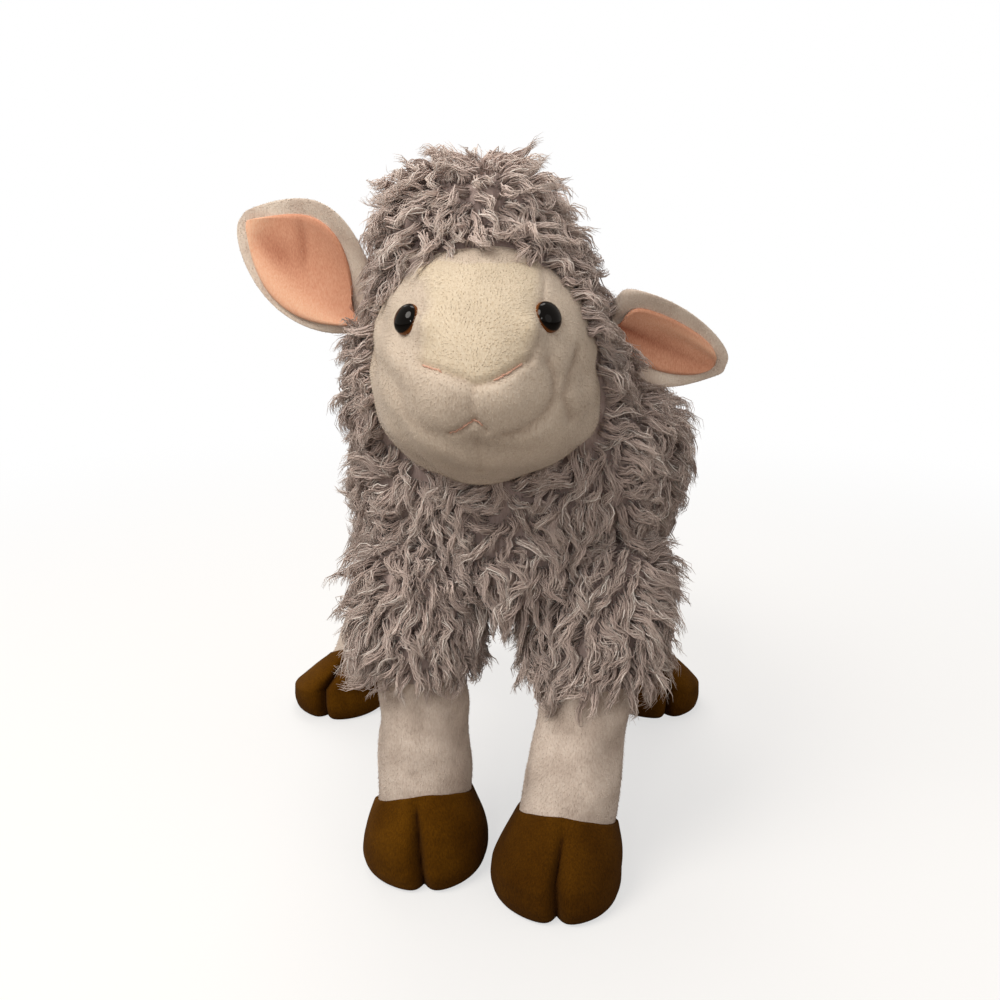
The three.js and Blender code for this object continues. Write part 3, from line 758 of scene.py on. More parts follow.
# %% The lines of the face, in pixels of the picture
NOSE_LINE = [(417, 363), (436, 370), (458, 377), (474, 385), (491, 382), (508, 374), (523, 364), (531, 360)]
PHILTRUM = [(474, 387), (472, 398), (472, 409), (475, 420)]
MOUTH_LINE = [(450, 433), (459, 430), (467, 425), (475, 420), (481, 424), (486, 430)]
CHIN_SEAM = [(476, 440), (480, 455), (482, 472)]
BRIDGE_RIGHT = [(414, 262), (421, 285), (423, 310), (418, 336), (413, 358)]
BRIDGE_LEFT = [(543, 262), (545, 285), (543, 312), (538, 338), (533, 357)]
MUZZLE_FOLD_LEFT = [(552, 362), (558, 378), (557, 396), (546, 417), (526, 431), (505, 436)]
MUZZLE_FOLD_RIGHT = [(404, 370), (398, 388), (402, 408), (414, 424), (432, 434)]
CHEEK_FOLD_LEFT = [(580, 352), (573, 376), (566, 398), (574, 420)]


def on_face(pixels):
    return onto(plain_face_tree, pixels)


def distance_to(points, line):
    """How far each point is from a line of joined segments."""
    best = np.full(len(points), 1.0)
    for start, end in zip(line[:-1], line[1:]):
        step = end - start
        share = np.clip(((points - start) @ step) / (step @ step), 0, 1)
        best = np.minimum(best, np.linalg.norm(points - start - share[:, None] * step, axis=1))
    return best

# %% Seams and folds
GROOVES = [
    (NOSE_LINE, 1.5 * MM, 2.0 * MM),
    (PHILTRUM, 0.7 * MM, 1.8 * MM),
    (MOUTH_LINE, 1.2 * MM, 1.8 * MM),
    (CHIN_SEAM, 0.8 * MM, 1.8 * MM),
    (BRIDGE_RIGHT, 0.5 * MM, 1.6 * MM),
    (BRIDGE_LEFT, 0.5 * MM, 1.6 * MM),
    (MUZZLE_FOLD_LEFT, 1.9 * MM, 3.6 * MM),
    (MUZZLE_FOLD_RIGHT, 0.6 * MM, 5.0 * MM),
    (CHEEK_FOLD_LEFT, 1.7 * MM, 3.8 * MM),
]
PUFFS = [
    ((440, 402), 1.7 * MM, 14 * MM), ((508, 404), 1.9 * MM, 14 * MM), ((474, 458), 1.2 * MM, 12 * MM),
    ((426, 324), 2.6 * MM, 6 * MM), ((531, 330), 3.2 * MM, 6.5 * MM),
]
DENTS = {"size": 24 * MM, "height": 0.45 * MM}
EYE_HOLLOW = {"depth": 1.8 * MM, "width": 10 * MM}


EYE_SPOTS = {"right": (405, 319), "left": (549, 316.5)}


def eye_seat(side):
    """Where a button eye's middle sits: on the face, at its place in the picture."""
    low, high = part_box(f"eye_{side}")
    seat = on_face([EYE_SPOTS[side]])[0]
    print("eye", side, "from its CAD middle:", round(math.dist(seat, (low + high) / 2) / MM, 1), "mm")
    return seat


def face_shade(points):
    """Paint for the face: red is painted shade in the seams, green the pale panel between the bridge seams.
    """
    front = from_head(points)[:, 1] < -55 * MM
    seam = np.zeros(len(points))
    for pixels, depth, width in GROOVES:
        gap = distance_to(points, on_face(pixels))
        seam = np.maximum(seam, min(1, depth / (2 * MM)) * hill(gap, 0.6 * width))
    panel = within(picture_of(points), BRIDGE_RIGHT + NOSE_LINE + BRIDGE_LEFT[::-1])
    edge = np.minimum(distance_to(points, on_face(BRIDGE_RIGHT)), distance_to(points, on_face(BRIDGE_LEFT)))
    pale = panel * np.clip(edge / (6 * MM), 0, 1)
    return np.stack([0.4 * seam * front, pale * front, np.zeros(len(points))], -1)


places = points_of(face)
outward = normals_of(face)
front = places[:, 1] < NECK[1] - 40 * MM
lift = DENTS["height"] * waves(places, DENTS["size"], 9)
EYE_SEATS = {side: eye_seat(side) for side in EYE_SPOTS}
paint(face, "shade", face_shade(places))
for pixels, depth, width in GROOVES:
    lift -= front * depth * hill(distance_to(places, on_face(pixels)), width)
for pixel, height, width in PUFFS:
    lift += front * height * hill(np.linalg.norm(places - on_face([pixel])[0], axis=1), width)
for seat in EYE_SEATS.values():
    lift -= EYE_HOLLOW["depth"] * hill(np.linalg.norm(places - seat, axis=1), EYE_HOLLOW["width"])
move_points(face, places + outward * lift[:, None])
face_tree = tree_of(face)
dress(face, "head", "cream_plush", "face_panel", fill=0.85)
print("deepest seam:", round(lift.min() / MM, 2), "mm")

# %% [markdown]
# The short pile of the face, shins and ears is a nap of fine fibres about a millimetre and a half long
# that lie over one way. They soften every outline, which a bump alone can't do.

# %% Short pile
NAP = {"length": 1.5 * MM, "radius": 0.15 * MM, "lean": 62, "spacing": 1.05 * MM}


def nap(name, piece, towards, material, body, slot, keep=None, shade=None):
    """Grows the nap of a piece, lying towards a direction, where keep says so."""
    rng = np.random.default_rng(len(name) * 7)
    roots, normals = scatter(piece, NAP["spacing"], rng)
    if keep is not None:
        rows = keep(roots)
        roots, normals = roots[rows], normals[rows]
    fall = comb(roots, normals, towards(roots), 0.5, 11)
    count = len(roots)
    lean = np.radians(NAP["lean"] + rng.normal(0, 12, (count, 1, 1)))
    step = np.linspace(0, 1, 3)[None, :, None]
    heading = np.cos(lean * (0.6 + 0.6 * step)) * normals[:, None, :]
    heading = heading + np.sin(lean * (0.6 + 0.6 * step)) * fall[:, None, :]
    length = NAP["length"] * rng.uniform(0.7, 1.2, (count, 1, 1))
    lines = roots[:, None, :] - 0.2 * MM * normals[:, None, :] + heading * step * length
    radii = NAP["radius"] * np.array([1, 0.8, 0.15])[None, :, None] * np.ones((count, 1, 3))
    tones = np.broadcast_to(step[..., None], (count, 3, 3, 3))
    made = tubes(name, lines, radii, tones, np.cross(fall, normals), material)
    if shade is not None:
        paint(made, "shade", np.repeat(shade(roots), 9, axis=0))
    dress(made, body, slot)
    print(name, "fibres:", count)


def beside_nose(roots):
    """The nap of the face lies away from the nose, towards the hood."""
    nose = on_face([NOSE_LINE[3]])[0]
    return unit(roots - nose) + 0.6 * DOWN


def shows_on_face(roots):
    return outside_of(hood_tree, roots, 1 * MM)


nap("face_pile", face, beside_nose, FACE_PLUSH, "head", "cream_plush", shows_on_face, face_shade)

# %% [markdown]
# The button eyes are domed plastic with a black middle and an amber rim, under a clear gloss. The CAD
# dome has few facets, so a smooth one takes its place, turned the same way. Its washer stays inside.

# %% The eyes
EYE = {"radius": 6.75 * MM, "dome": 4.4 * MM, "brim": 1.0 * MM, "pupil": 0.93, "rows": 24, "sides": 64}


def eye_material():
    material, shader, tree = fresh_material("button_eye", Roughness=0.06, Specular_IOR_Level=0.2)
    grain = add_node(tree, "TexNoise", Scale=900)
    amber = mix_colour(tree, grain.outputs["Fac"], srgb(78, 38, 10), srgb(150, 88, 32))
    ring = spread(tree, painted(tree, "strand")[0], EYE["pupil"], EYE["pupil"] + 0.06)
    tree.links.new(mix_colour(tree, ring, srgb(7, 5, 4), amber), shader.inputs["Base Color"])
    return material


BUTTON_EYE = eye_material()


def facing(seat):
    """The way an eye looks: square to the egg of the face where it sits."""
    place = from_head(seat[None])[0] - FACE["middle"]
    normal = place / FACE["half"] ** 2
    return unit(TURN @ normal)


def eye_button(side):
    seat = EYE_SEATS[side]
    look = facing(seat)
    across = unit(np.cross(look, [0, 0, 1.0]))
    base = np.array(face_tree.find_nearest(Vector(seat))[0])
    angle = np.linspace(0, math.pi / 2, EYE["rows"])
    radius = np.concatenate([[EYE["radius"] * 0.9, EYE["radius"]], EYE["radius"] * np.cos(angle)])
    height = np.concatenate([[-1.5 * MM, 0.2 * MM], EYE["brim"] * 0.6 + EYE["dome"] * np.sin(angle)])
    radius[-1] = 0.02 * MM
    ring = circle(EYE["sides"], across, np.cross(across, look))
    rings = base + radius[:, None, None] * ring[None] + height[:, None, None] * look
    piece = build(f"button_eye_{side}", *loft(rings), BUTTON_EYE)
    spots = points_of(piece) - base
    away = np.linalg.norm(spots - (spots @ look)[:, None] * look, axis=1) / EYE["radius"]
    paint(piece, "strand", np.stack([away, away, away], -1))
    dress(piece, "head", "eye_plastic", f"eye_{side}")
    print(piece.name, "points:", len(piece.data.vertices))


for side in EYE_SPOTS:
    eye_button(side)

# %% The washers behind the eyes
def washer_material():
    material, shader, tree = fresh_material("washer_plastic", Roughness=0.45)
    grain = add_node(tree, "TexNoise", Scale=600)
    colour = mix_colour(tree, grain.outputs["Fac"], srgb(222, 218, 208), srgb(240, 237, 230))
    tree.links.new(colour, shader.inputs["Base Color"])
    return material


WASHER = washer_material()
for side in EYE_SPOTS:
    node = frame["nodes"][f"eye_washer_{side}"]
    node.data.materials.clear()
    node.data.materials.append(WASHER)
    print(node.name, "is made of", WASHER.name)

# %% [markdown]
# The nose and the mouth are a few stitches of pink thread, half sunk in the pile. Each stitch is a
# short tapered tube that lies along its seam.

# %% Stitches
THREAD = {"radius": 0.42 * MM, "length": 3.2 * MM, "lift": 0.5 * MM, "rings": 5, "sides": 6}
THREAD_PINK = cloth("pink_thread", srgb(206, 158, 136), srgb(232, 188, 166), (300, 2500), 0.3, 0.6)
STITCHED = {
    "nose_thread_right": [(424, 366), (434, 369), (445, 372)],
    "nose_thread_left": [(497, 379), (508, 373), (518, 366), (527, 362)],
    "mouth_thread": [(451, 432), (459, 429), (467, 424), (475, 419), (480, 423), (484, 427)],
}


def along_line(line, spacing):
    """Points at even steps along a line of joined segments."""
    lengths = np.linalg.norm(np.diff(line, axis=0), axis=1)
    total = np.concatenate([[0], np.cumsum(lengths)])
    marks = np.arange(0, total[-1], spacing)
    return np.stack([np.interp(marks, total, line[:, axis]) for axis in range(3)], -1)


def stitches(name, pixels, rng):
    marks = along_line(onto(face_tree, pixels), THREAD["length"] * 0.55)
    skins = []
    for spot, after in zip(marks[:-1], marks[1:]):
        normal = np.array(face_tree.find_nearest(Vector(spot))[1])
        ahead = unit(unit(after - spot) + rng.normal(0, 0.22, 3))
        share = np.linspace(-0.5, 0.5, THREAD["rings"])
        sag = THREAD["lift"] * (1 - (2 * share) ** 2) - 0.1 * MM
        centre = spot + share[:, None] * THREAD["length"] * ahead + sag[:, None] * normal
        ring = circle(THREAD["sides"], unit(np.cross(ahead, normal)), normal)
        width = THREAD["radius"] * np.sqrt(np.clip(1 - (2 * share) ** 2, 0.08, 1))
        skins.append(loft(centre[:, None, :] + width[:, None, None] * ring[None]))
    dress(build(name, *joined(skins), THREAD_PINK), "head", "pink_lining")
    print(name, "stitches:", len(skins))


thread_rng = np.random.default_rng(5)
for name, pixels in STITCHED.items():
    stitches(name, pixels, thread_rng)

# %% [markdown]
# An ear is a spoon of plush cloth, sewn to a pink lining and turned right side out, so its rim is soft
# and round and shows in front as a pale border. The spoon is cupped forwards and its root is pinched
# into the hood. One ear stands up. The other hangs and droops at its tip, so it is a little shorter than
# its CAD solid. Its edges differ above and below, so each has its own size, fullness and bluntness.

# %% Ear sizes
EAR = {"width": 56 * MM, "cup": 9 * MM, "puff": 5.2 * MM}
EAR_POSE = {
    "right": {"side": -1, "raise": 40.4, "sweep": 6.3, "twist": 5.9, "length": 77.3, "droop": 1.7},
    "left": {"side": 1, "raise": -7.5, "sweep": 21.7, "twist": 18.2, "length": 60, "droop": 16.6},
}
EAR_EDGE = {
    "right": {"upper": (1.12, 0.96, 0.79), "lower": (0.77, 0.95, 0.47)},
    "left": {"upper": (0.6, 0.45, 0.26), "lower": (0.78, 0.88, 0.73)},
}
LINING = {
    "right": {"start": 0.05, "end": 0.942, "slant": 0.08, "half": 0.8, "shift": -0.07, "blunt": 2.2},
    "left": {"start": 0.05, "end": 0.904, "slant": 0.03, "half": 0.634, "shift": -0.067, "blunt": 9},
}
EAR_ROWS = 60
EAR_SIDES = 72


def ear_frame(side):
    """The ear's own axes as rows: along it, across its thickness and across its width."""
    pose = EAR_POSE[side]
    raised, sweep, twist = (math.radians(pose[key]) for key in ("raise", "sweep", "twist"))
    tilt = -raised if pose["side"] > 0 else raised - math.pi
    return TURN @ turn_about(1, tilt) @ turn_about(2, sweep) @ turn_about(0, pose["side"] * twist)


def ear_width(share, size, full, blunt):
    """Half the width of the spoon at shares of its length. Full below 1 is widest near the root."""
    spoon = np.sin(math.pi * np.clip(share, 0, 1) ** full) ** blunt
    return EAR["width"] / 2 * size * (0.08 * (1 - share) + 0.02 + spoon)


def ear_surface(side, share, above, depth):
    """Points of the ear in space, from shares of its length and width and a depth to the back."""
    pose, edge = EAR_POSE[side], EAR_EDGE[side]
    width = np.where(above > 0, ear_width(share, *edge["upper"]), ear_width(share, *edge["lower"]))
    across = width * above * pose["side"]
    roll = EAR["cup"] * (1 + 0.5 * (1 - share)) * (across / (EAR["width"] / 2)) ** 2
    own = np.stack([pose["length"] * MM * share * np.ones_like(above), depth - roll, across], -1)
    droop = pose["droop"] * MM * share[..., None] ** 2 * DOWN
    return own @ ear_frame(side).T + JOINTS[f"{side}_ear_swing"] + droop

# %% The ears
def ear_cover(side):
    share = np.linspace(0.0, 1.0, EAR_ROWS)[:, None]
    share = 0.02 + 0.975 * (1 - (1 - share) ** 1.4)
    turn = np.linspace(0, 2 * math.pi, EAR_SIDES, endpoint=False)[None, :]
    above = EAR_POSE[side]["side"] * np.cos(turn) * np.ones_like(share)
    plump = EAR["puff"] * np.clip(1 - share ** 6, 0.05, 1) * (1 + 1.2 * hill(share, 0.18))
    depth = plump * (0.5 + 0.5 * np.sin(turn)) - 1.0 * MM
    pinch = 3.5 * MM * hill(share, 0.25) * hill(above, 0.35)
    rings = ear_surface(side, share, above, depth + pinch * (np.sin(turn) < 0))
    piece = build(f"{side}_ear", *loft(rings), EAR_PLUSH)
    relax(piece, 2)
    return piece


def lining_folds(side, share, above):
    """How hollow, how creased and how far rolled up the lining is at each of its places."""
    if side == "right":
        hollow = hill(above + 0.12, 0.3) * hill(share - 0.7, 0.17)
        crease = hill(share - 0.5 - 0.29 * above, 0.04) * np.clip(1.2 - np.abs(above - 0.3) / 0.4, 0, 1)
        rolled = hill(above + 0.66, 0.24) + hill(share - 0.9, 0.07) * (above < 0.5)
    else:
        hollow = hill(above + 0.2, 0.3) * np.clip(0.9 - share, 0, 1)
        crease = hill(above + 0.1 + 0.25 * share, 0.12) * np.clip(1.1 - share, 0, 1)
        rolled = hill(above - 0.3, 0.2) * share
    return hollow, crease, np.clip(rolled, 0, 1)


def ear_patch(side):
    """The pink lining: a thin patch on the hollow side, set lower than the rim above it."""
    form = LINING[side]
    row = np.linspace(0, 1, 48)[:, None]
    column = np.linspace(-1, 1, 40)[None, :]
    reach = np.sqrt(np.clip(1 - np.abs(2 * row - 1) ** form["blunt"], 0.004, 1))
    share = form["start"] + (form["end"] - form["start"]) * row + form["slant"] * column * (1 - row)
    above = np.clip(column * form["half"] * reach + form["shift"], -1, 1)
    hollow, crease, rolled = lining_folds(side, share, above)
    hem = 1.0 * MM * np.clip((np.abs(column) - 0.9) / 0.1, 0, 1)
    depth = -1.9 * MM + 0.5 * MM * crease + 0.2 * MM * hollow - 1.5 * MM * rolled + hem
    front = ear_surface(side, share, above, depth)
    back = ear_surface(side, share, above, depth + 1.1 * MM)
    order = slice(None, None, EAR_POSE[side]["side"])
    skin = np.concatenate([front[:, order], back[:, order][:, ::-1]], axis=1)
    piece = build(f"{side}_ear_lining", *loft(skin), EAR_LINING)
    # Painted shade in the hollow and the crease, less of it on the roll; green is a painted highlight on
    # the roll.
    shade_paint = np.clip(0.6 * hollow + 0.6 * crease - 0.3 * rolled, 0, 1)
    tones = np.stack([shade_paint, rolled, 0 * shade_paint], -1)[:, order]
    tones = np.concatenate([tones, tones[:, ::-1]], axis=1).reshape(-1, 3)
    paint(piece, "shade", np.concatenate([tones, np.zeros((2, 3))]))
    return piece


for side in EAR_POSE:
    cover, patch = ear_cover(side), ear_patch(side)
    dress(cover, f"{side}_ear", "cream_plush", f"ear_cover_{side}", fill=0.4)
    dress(patch, f"{side}_ear", "pink_lining", f"ear_lining_{side}")
    tip = ear_surface(side, np.ones(1), np.zeros(1), np.zeros(1))[0]
    nap(f"{side}_ear_pile", cover, lambda roots: unit(tip - roots), EAR_PLUSH, f"{side}_ear", "cream_plush")

# %% [markdown]
# A leg is a sock: curly fleece over the thigh, plain plush over the shin and a felt hoof with a cleft
# down its front. It leans in a straight line from the hip to where the hoof stands, so each ring of
# the sock is shifted along that line.

# %% Leg sizes
HIP_HEIGHT = 150 * MM
LEG = {"ball": 34 * MM, "thigh": 35 * MM, "hem": 33 * MM, "hem_height": 105 * MM}
SHIN = {
    "radius": 24 * MM, "top": 116 * MM, "foot": 45 * MM, "waist": 1.8 * MM, "under_hem": 20 * MM,
    "seam_top": 72 * MM, "seam_fade": 20 * MM,
}
HOOF = {"width": 65.5 * MM, "length": 72 * MM, "height": 49 * MM, "plant": 20 * MM}
CLEFT = {"depth": 7.5 * MM, "width": 3.2 * MM}
HOOF_HEIGHTS = [0, 0.03, 0.12, 0.34, 0.58, 0.82, 1]
HOOF_RADII = [0.88, 0.93, 0.985, 1, 0.955, 0.87, 0.78]
SEAM_DIP = 10 * MM
SEAM_TILT = 3.3 * MM
REAR_BOW = 1.3
LEGS = {"front_right": -3, "front_left": 0, "rear_right": -16, "rear_left": 14}
CLEFT_LEAN = {
    "front_right": (0.09, -0.07), "front_left": (-0.04, -0.11), "rear_right": (0, 0), "rear_left": (0, 0),
}
# Painted shade over the whole front left hoof, which stands on the side away from the key lamp.
HOOF_PAINTED_SHADE = {"front_left": 0.3}
LEG_SIDES = 120


def hoof_place(leg):
    low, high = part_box(f"{leg}_hoof_sole")
    return np.array([(low.x + high.x) / 2, (low.y + high.y) / 2])


def leg_line(leg, height):
    """The middle of a leg at some heights, from the hip to the hoof."""
    hip = JOINTS[f"{leg}_hip"]
    share = np.clip((HIP_HEIGHT - height) / (HIP_HEIGHT - HOOF["plant"]), 0, 1)[..., None]
    flat = hip[:2] + (hoof_place(leg) - hip[:2]) * share ** (REAR_BOW if leg.startswith("rear") else 1)
    return np.concatenate([flat, height[..., None]], -1)

# %% Rings of a leg
def leg_rings(leg, radii, heights, ripple=None, cleft=True):
    """Rings about the leaning line, oval and cleft at the hoof."""
    turn = np.linspace(0, 2 * math.pi, LEG_SIDES, endpoint=False)[None, :]
    turn = turn - 0.25 * np.sin(turn)
    radius = radii[:, None] * np.ones_like(turn)
    low = np.clip((HOOF["height"] - heights) / HOOF["plant"], 0, 1)[:, None]
    if ripple is not None:
        radius = radius + ripple(turn, heights[:, None])
    if cleft:
        lean = np.interp(heights, [0, HOOF["height"]], CLEFT_LEAN[leg])[:, None]
        across = radius * (np.where(turn > math.pi, turn - 2 * math.pi, turn) - lean) / CLEFT["width"]
        groove = CLEFT["depth"] * low ** 0.7 * (2 * radius / HOOF["width"]) * np.exp(-np.abs(across) ** 1.3)
        radius = radius - groove
    stretch = 1 + (HOOF["length"] / HOOF["width"] - 1) * low
    x = radius * np.sin(turn)
    y = -radius * np.cos(turn) * stretch
    toe = math.radians(LEGS[leg])
    flat = np.stack([x * math.cos(toe) - y * math.sin(toe), x * math.sin(toe) + y * math.cos(toe)], -1)
    middle = leg_line(leg, heights)
    points = np.concatenate([flat, np.zeros_like(x)[..., None]], -1)
    return points + middle[:, None, :]


def smooth_profile(heights, radii, rows):
    """More rows between the given ones, along a smooth curve."""
    at = np.linspace(heights[0], heights[-1], rows)
    x, y = np.array(heights), np.array(radii)
    slope = np.gradient(y, x)
    k = np.clip(np.searchsorted(x, at, side="right") - 1, 0, len(x) - 2)
    span = x[k + 1] - x[k]
    share = (at - x[k]) / span
    rise = y[k] * (1 + 2 * share) * (1 - share) ** 2 + y[k + 1] * share ** 2 * (3 - 2 * share)
    bend = span * share * (1 - share) * (slope[k] * (1 - share) - slope[k + 1] * share)
    return at, rise + bend

# %% Hooves, soles and shins
def seam_drop(leg):
    """How far below its front the seam of hoof and shin runs, round the leg, and its tilt."""
    turn = np.linspace(0, 2 * math.pi, LEG_SIDES, endpoint=False)[None, :]
    inward = 1 if leg.endswith("right") else -1
    return SEAM_DIP * (np.clip(np.cos(turn), -0.4, 1) - 1) + SEAM_TILT * inward * np.sin(turn)


def hoof(leg):
    heights = [share * HOOF["height"] for share in HOOF_HEIGHTS]
    radii = [share * HOOF["width"] / 2 for share in HOOF_RADII]
    at, radius = smooth_profile(heights, radii, 56)

    def pucker(turn, height):
        seam = hill(height - HOOF["height"], 6 * MM)
        folds = 0.5 * MM * seam * np.sin(turn * 9 + LEGS[leg])
        return folds + 0.4 * MM * np.sin(turn * 3 + height / (9 * MM))

    rings = leg_rings(leg, radius, at, pucker)
    turn = np.linspace(0, 2 * math.pi, LEG_SIDES, endpoint=False)
    rings[..., 2] += (at / HOOF["height"])[:, None] * seam_drop(leg)
    piece = build(f"{leg}_hoof", *loft(rings), HOOF_FELT)
    turn = np.where(turn > math.pi, turn - 2 * math.pi, turn)
    turn = turn[None, :] * 0.75 - np.interp(at, [0, HOOF["height"]], CLEFT_LEAN[leg])[:, None]
    # Painted shade: a dark line down the low part of the cleft, and an even shade over the front left hoof.
    low = np.clip((HOOF["height"] * 0.92 - at) / (6 * MM), 0, 1)[:, None]
    shade_paint = low * np.exp(-np.abs(radius[:, None] * turn / (1.3 * MM)) ** 1.5)
    shade_paint = np.maximum(shade_paint, HOOF_PAINTED_SHADE.get(leg, 0))
    shade_paint = np.concatenate([shade_paint.ravel(), np.zeros(2)])
    paint(piece, "shade", np.stack([shade_paint, 0 * shade_paint, 0 * shade_paint], -1))
    return piece


def sole(leg):
    radius = np.array([0.2, 0.9, 0.97, 1, 0.97]) * HOOF_RADII[0] * HOOF["width"] / 2 * 0.97
    at = np.array([0.0, 0.0, 0.1, 0.6, 1.6]) * MM
    return build(f"{leg}_sole", *loft(leg_rings(leg, radius, at)), HOOF_FELT)


def shin(leg):
    slim = SHIN["radius"] - SHIN["waist"]
    heights = [SHIN["foot"], 60 * MM, 80 * MM, 98 * MM, SHIN["top"]]
    radii = [SHIN["radius"], SHIN["radius"], slim, slim, SHIN["under_hem"]]
    at, radius = smooth_profile(heights, radii, 64)
    phase = {"front_right": 0.4, "front_left": 1.9, "rear_right": 3.1, "rear_left": 4.4}[leg]

    def wrinkle(turn, height):
        bands = np.sin(height / (5.5 * MM) + 1.4 * np.sin(turn + phase)) * np.cos(turn * 2 + phase)
        free = np.clip((height - HOOF["height"]) / (10 * MM), 0, 1)
        return free * (0.8 * MM * bands + 0.6 * MM * np.sin(turn * 5 + phase + height / (14 * MM)))

    rings = leg_rings(leg, radius, at, wrinkle, False)
    rings[..., 2] += np.clip((SHIN["seam_top"] - at) / SHIN["seam_fade"], 0, 1)[:, None] * seam_drop(leg)
    return build(f"{leg}_shin", *loft(rings), LEG_PLUSH)


for leg in LEGS:
    body = f"{leg}_leg"
    felt, under, shank = hoof(leg), sole(leg), shin(leg)
    dress(felt, body, "brown_felt", f"{leg}_hoof_cover", fill=0.85)
    dress(under, body, "brown_felt", f"{leg}_hoof_sole")
    dress(shank, body, "cream_plush", f"{leg}_shin_cover", fill=0.75)
    hoof_tree = tree_of(felt)
    nap(f"{leg}_shin_pile", shank, lambda roots: np.broadcast_to(DOWN, roots.shape), LEG_PLUSH, body,
        "cream_plush", lambda roots: outside_of(hoof_tree, roots, 0.5 * MM))

# %% Thigh sleeves
def sleeve(leg):
    inset = PILE * 0.8
    heights = [LEG["hem_height"] + 4 * MM, 118 * MM, HIP_HEIGHT]
    radii = [LEG["hem"] - inset, LEG["thigh"] - inset, LEG["ball"] - inset]
    at, radius = smooth_profile(heights, radii, 16)
    angle = np.linspace(0.15, math.pi / 2 - 0.05, 10)
    ball = LEG["ball"] - inset
    at = np.concatenate([at, HIP_HEIGHT + ball * np.sin(angle)])
    radius = np.concatenate([radius, ball * np.cos(angle)])
    piece = build(f"{leg}_sleeve_backing", *loft(leg_rings(leg, radius, at, None, False)), BACKING)
    dress(piece, f"{leg}_leg", "curly_fleece", f"{leg}_leg_fleece", f"{leg}_leg_stuffing", fill=0.8)
    return piece


sleeves = {leg: sleeve(leg) for leg in LEGS}
sleeve_trees = {leg: tree_of(piece) for leg, piece in sleeves.items()}
print("sleeves:", len(sleeves))

# %% [markdown]
# The tail is a small drop of fleece that hangs from the top of the rump. Its root reaches past the hinge
# into the body, so that no gap opens when the tail is raised.

# %% The tail's backing
TAIL = {"length": 48 * MM, "radius": 10 * MM, "root": 1.28, "hang": math.radians(50)}


def tail_rings():
    share = np.linspace(0.02, TAIL["root"], 28)
    tip = 1 - np.clip(share / 0.45, 0, 1)
    root = np.clip((share - 0.5) / 0.5, 0, 1)
    radius = TAIL["radius"] * np.sqrt(1 - tip ** 2) * (1 - 0.25 * root)
    ahead = np.array([0, math.sin(TAIL["hang"]), -math.cos(TAIL["hang"])])
    side = np.array([1.0, 0, 0])
    ring = circle(24, side, np.cross(ahead, side))
    middle = JOINTS["tail_wag"] + (TAIL["length"] - 6 * MM) * (1 - share)[:, None] * ahead
    return middle[:, None, :] + radius[:, None, None] * ring[None]


tail_skin = build("tail_backing", *loft(tail_rings()), BACKING)
dress(tail_skin, "tail", "curly_fleece", "tail", fill=0.7)
print("tail backing points:", len(tail_skin.data.vertices))

# %% [markdown]
# Now the fleece grows. Locks start a few millimetres apart all over the backings, except where another
# piece covers them. On the body they hang down in swirls; on the crown they stand up before they fall.

# %% Lock styles
LOCK = {
    "length": 17 * MM, "rise": 26, "tilt": 100, "turns": (0.6, 1.4), "curl": 2.8 * MM, "spread": 3.0 * MM,
    "gather": 0.4, "frizz": 0.9 * MM, "stray": 0.16, "thick": 0.5 * MM, "fine": 0.24 * MM, "fibres": 16,
    "tone": 0.45,
}
# The crown's locks all take the lightest tone, which is painted light on the top of the head.
CROWN_LOCK = dict(LOCK, length=17 * MM, rise=16, tilt=90, tone=1.0)
BIB_LOCK = dict(LOCK, length=26 * MM, rise=34, tilt=88, curl=2.6 * MM)
FRINGE_LOCK = dict(LOCK, length=14 * MM, rise=24, tilt=98, tone=0.62)
HEM_LOCK = dict(LOCK, length=18 * MM, rise=30, tilt=100, curl=2.3 * MM)
LOCK_GAP = 4.2 * MM

# %% The body's fleece
body_rng = np.random.default_rng(21)
roots, normals = scatter(torso_skin, LOCK_GAP, body_rng)
free = outside_of(hood_tree, roots, 2 * MM)
for tree in sleeve_trees.values():
    free &= outside_of(tree, roots, 1 * MM)
belly = (normals[:, 2] < -0.75) & (body_rng.random(len(roots)) < 0.35)
rows = free & ~belly
roots, normals = roots[rows], normals[rows]
downhill = DOWN + np.array([0, 0.25, 0])
fall = comb(roots, normals, downhill, 0.9, 31)
low_chest = (roots[:, 2] < BARREL["belly"] + 32 * MM) & (roots[:, 1] < barrel_middle[1] - 85 * MM)
high = ~low_chest
lock_pieces("torso_fleece", roots[high], normals[high], fall[high], LOCK, body_rng, "torso")
fall = unit(fall[low_chest] * 0.4 + DOWN)
reach = np.interp(roots[low_chest, 2], [142 * MM, 168 * MM], [0.6, 1])
lock_pieces("bib_fleece", roots[low_chest], normals[low_chest], fall, BIB_LOCK, body_rng, "torso",
            reach)

# %% The hood's fleece
NECK_DEPTH = -9 * MM
hood_rng = np.random.default_rng(22)
roots, normals = scatter(hood_skin, LOCK_GAP * 0.95, hood_rng)
rows = outside_of(face_tree, roots, 0.5 * MM) & outside_of(torso_tree, roots, NECK_DEPTH)
roots, normals = roots[rows], normals[rows]
local = from_head(roots)
crown = local[:, 2] > 72 * MM
away = unit(roots - in_head(np.array([[-7, -35, 60]]) * MM))
fall = comb(roots, normals, DOWN + 0.4 * away, 0.8, 32)
lock_pieces("hood_fleece", roots[~crown], normals[~crown], fall[~crown], LOCK, hood_rng, "head")
lock_pieces("crown_fleece", roots[crown], normals[crown], fall[crown], CROWN_LOCK, hood_rng, "head")

# %% The fringe round the face
HAIRLINE = [
    (404, 276), (416, 264), (438, 254), (473, 249), (512, 252), (543, 263), (560, 279), (574, 302),
    (588, 333), (606, 360), (660, 420), (640, 560), (480, 620), (300, 560), (300, 420), (366, 352),
    (378, 318), (388, 292),
]


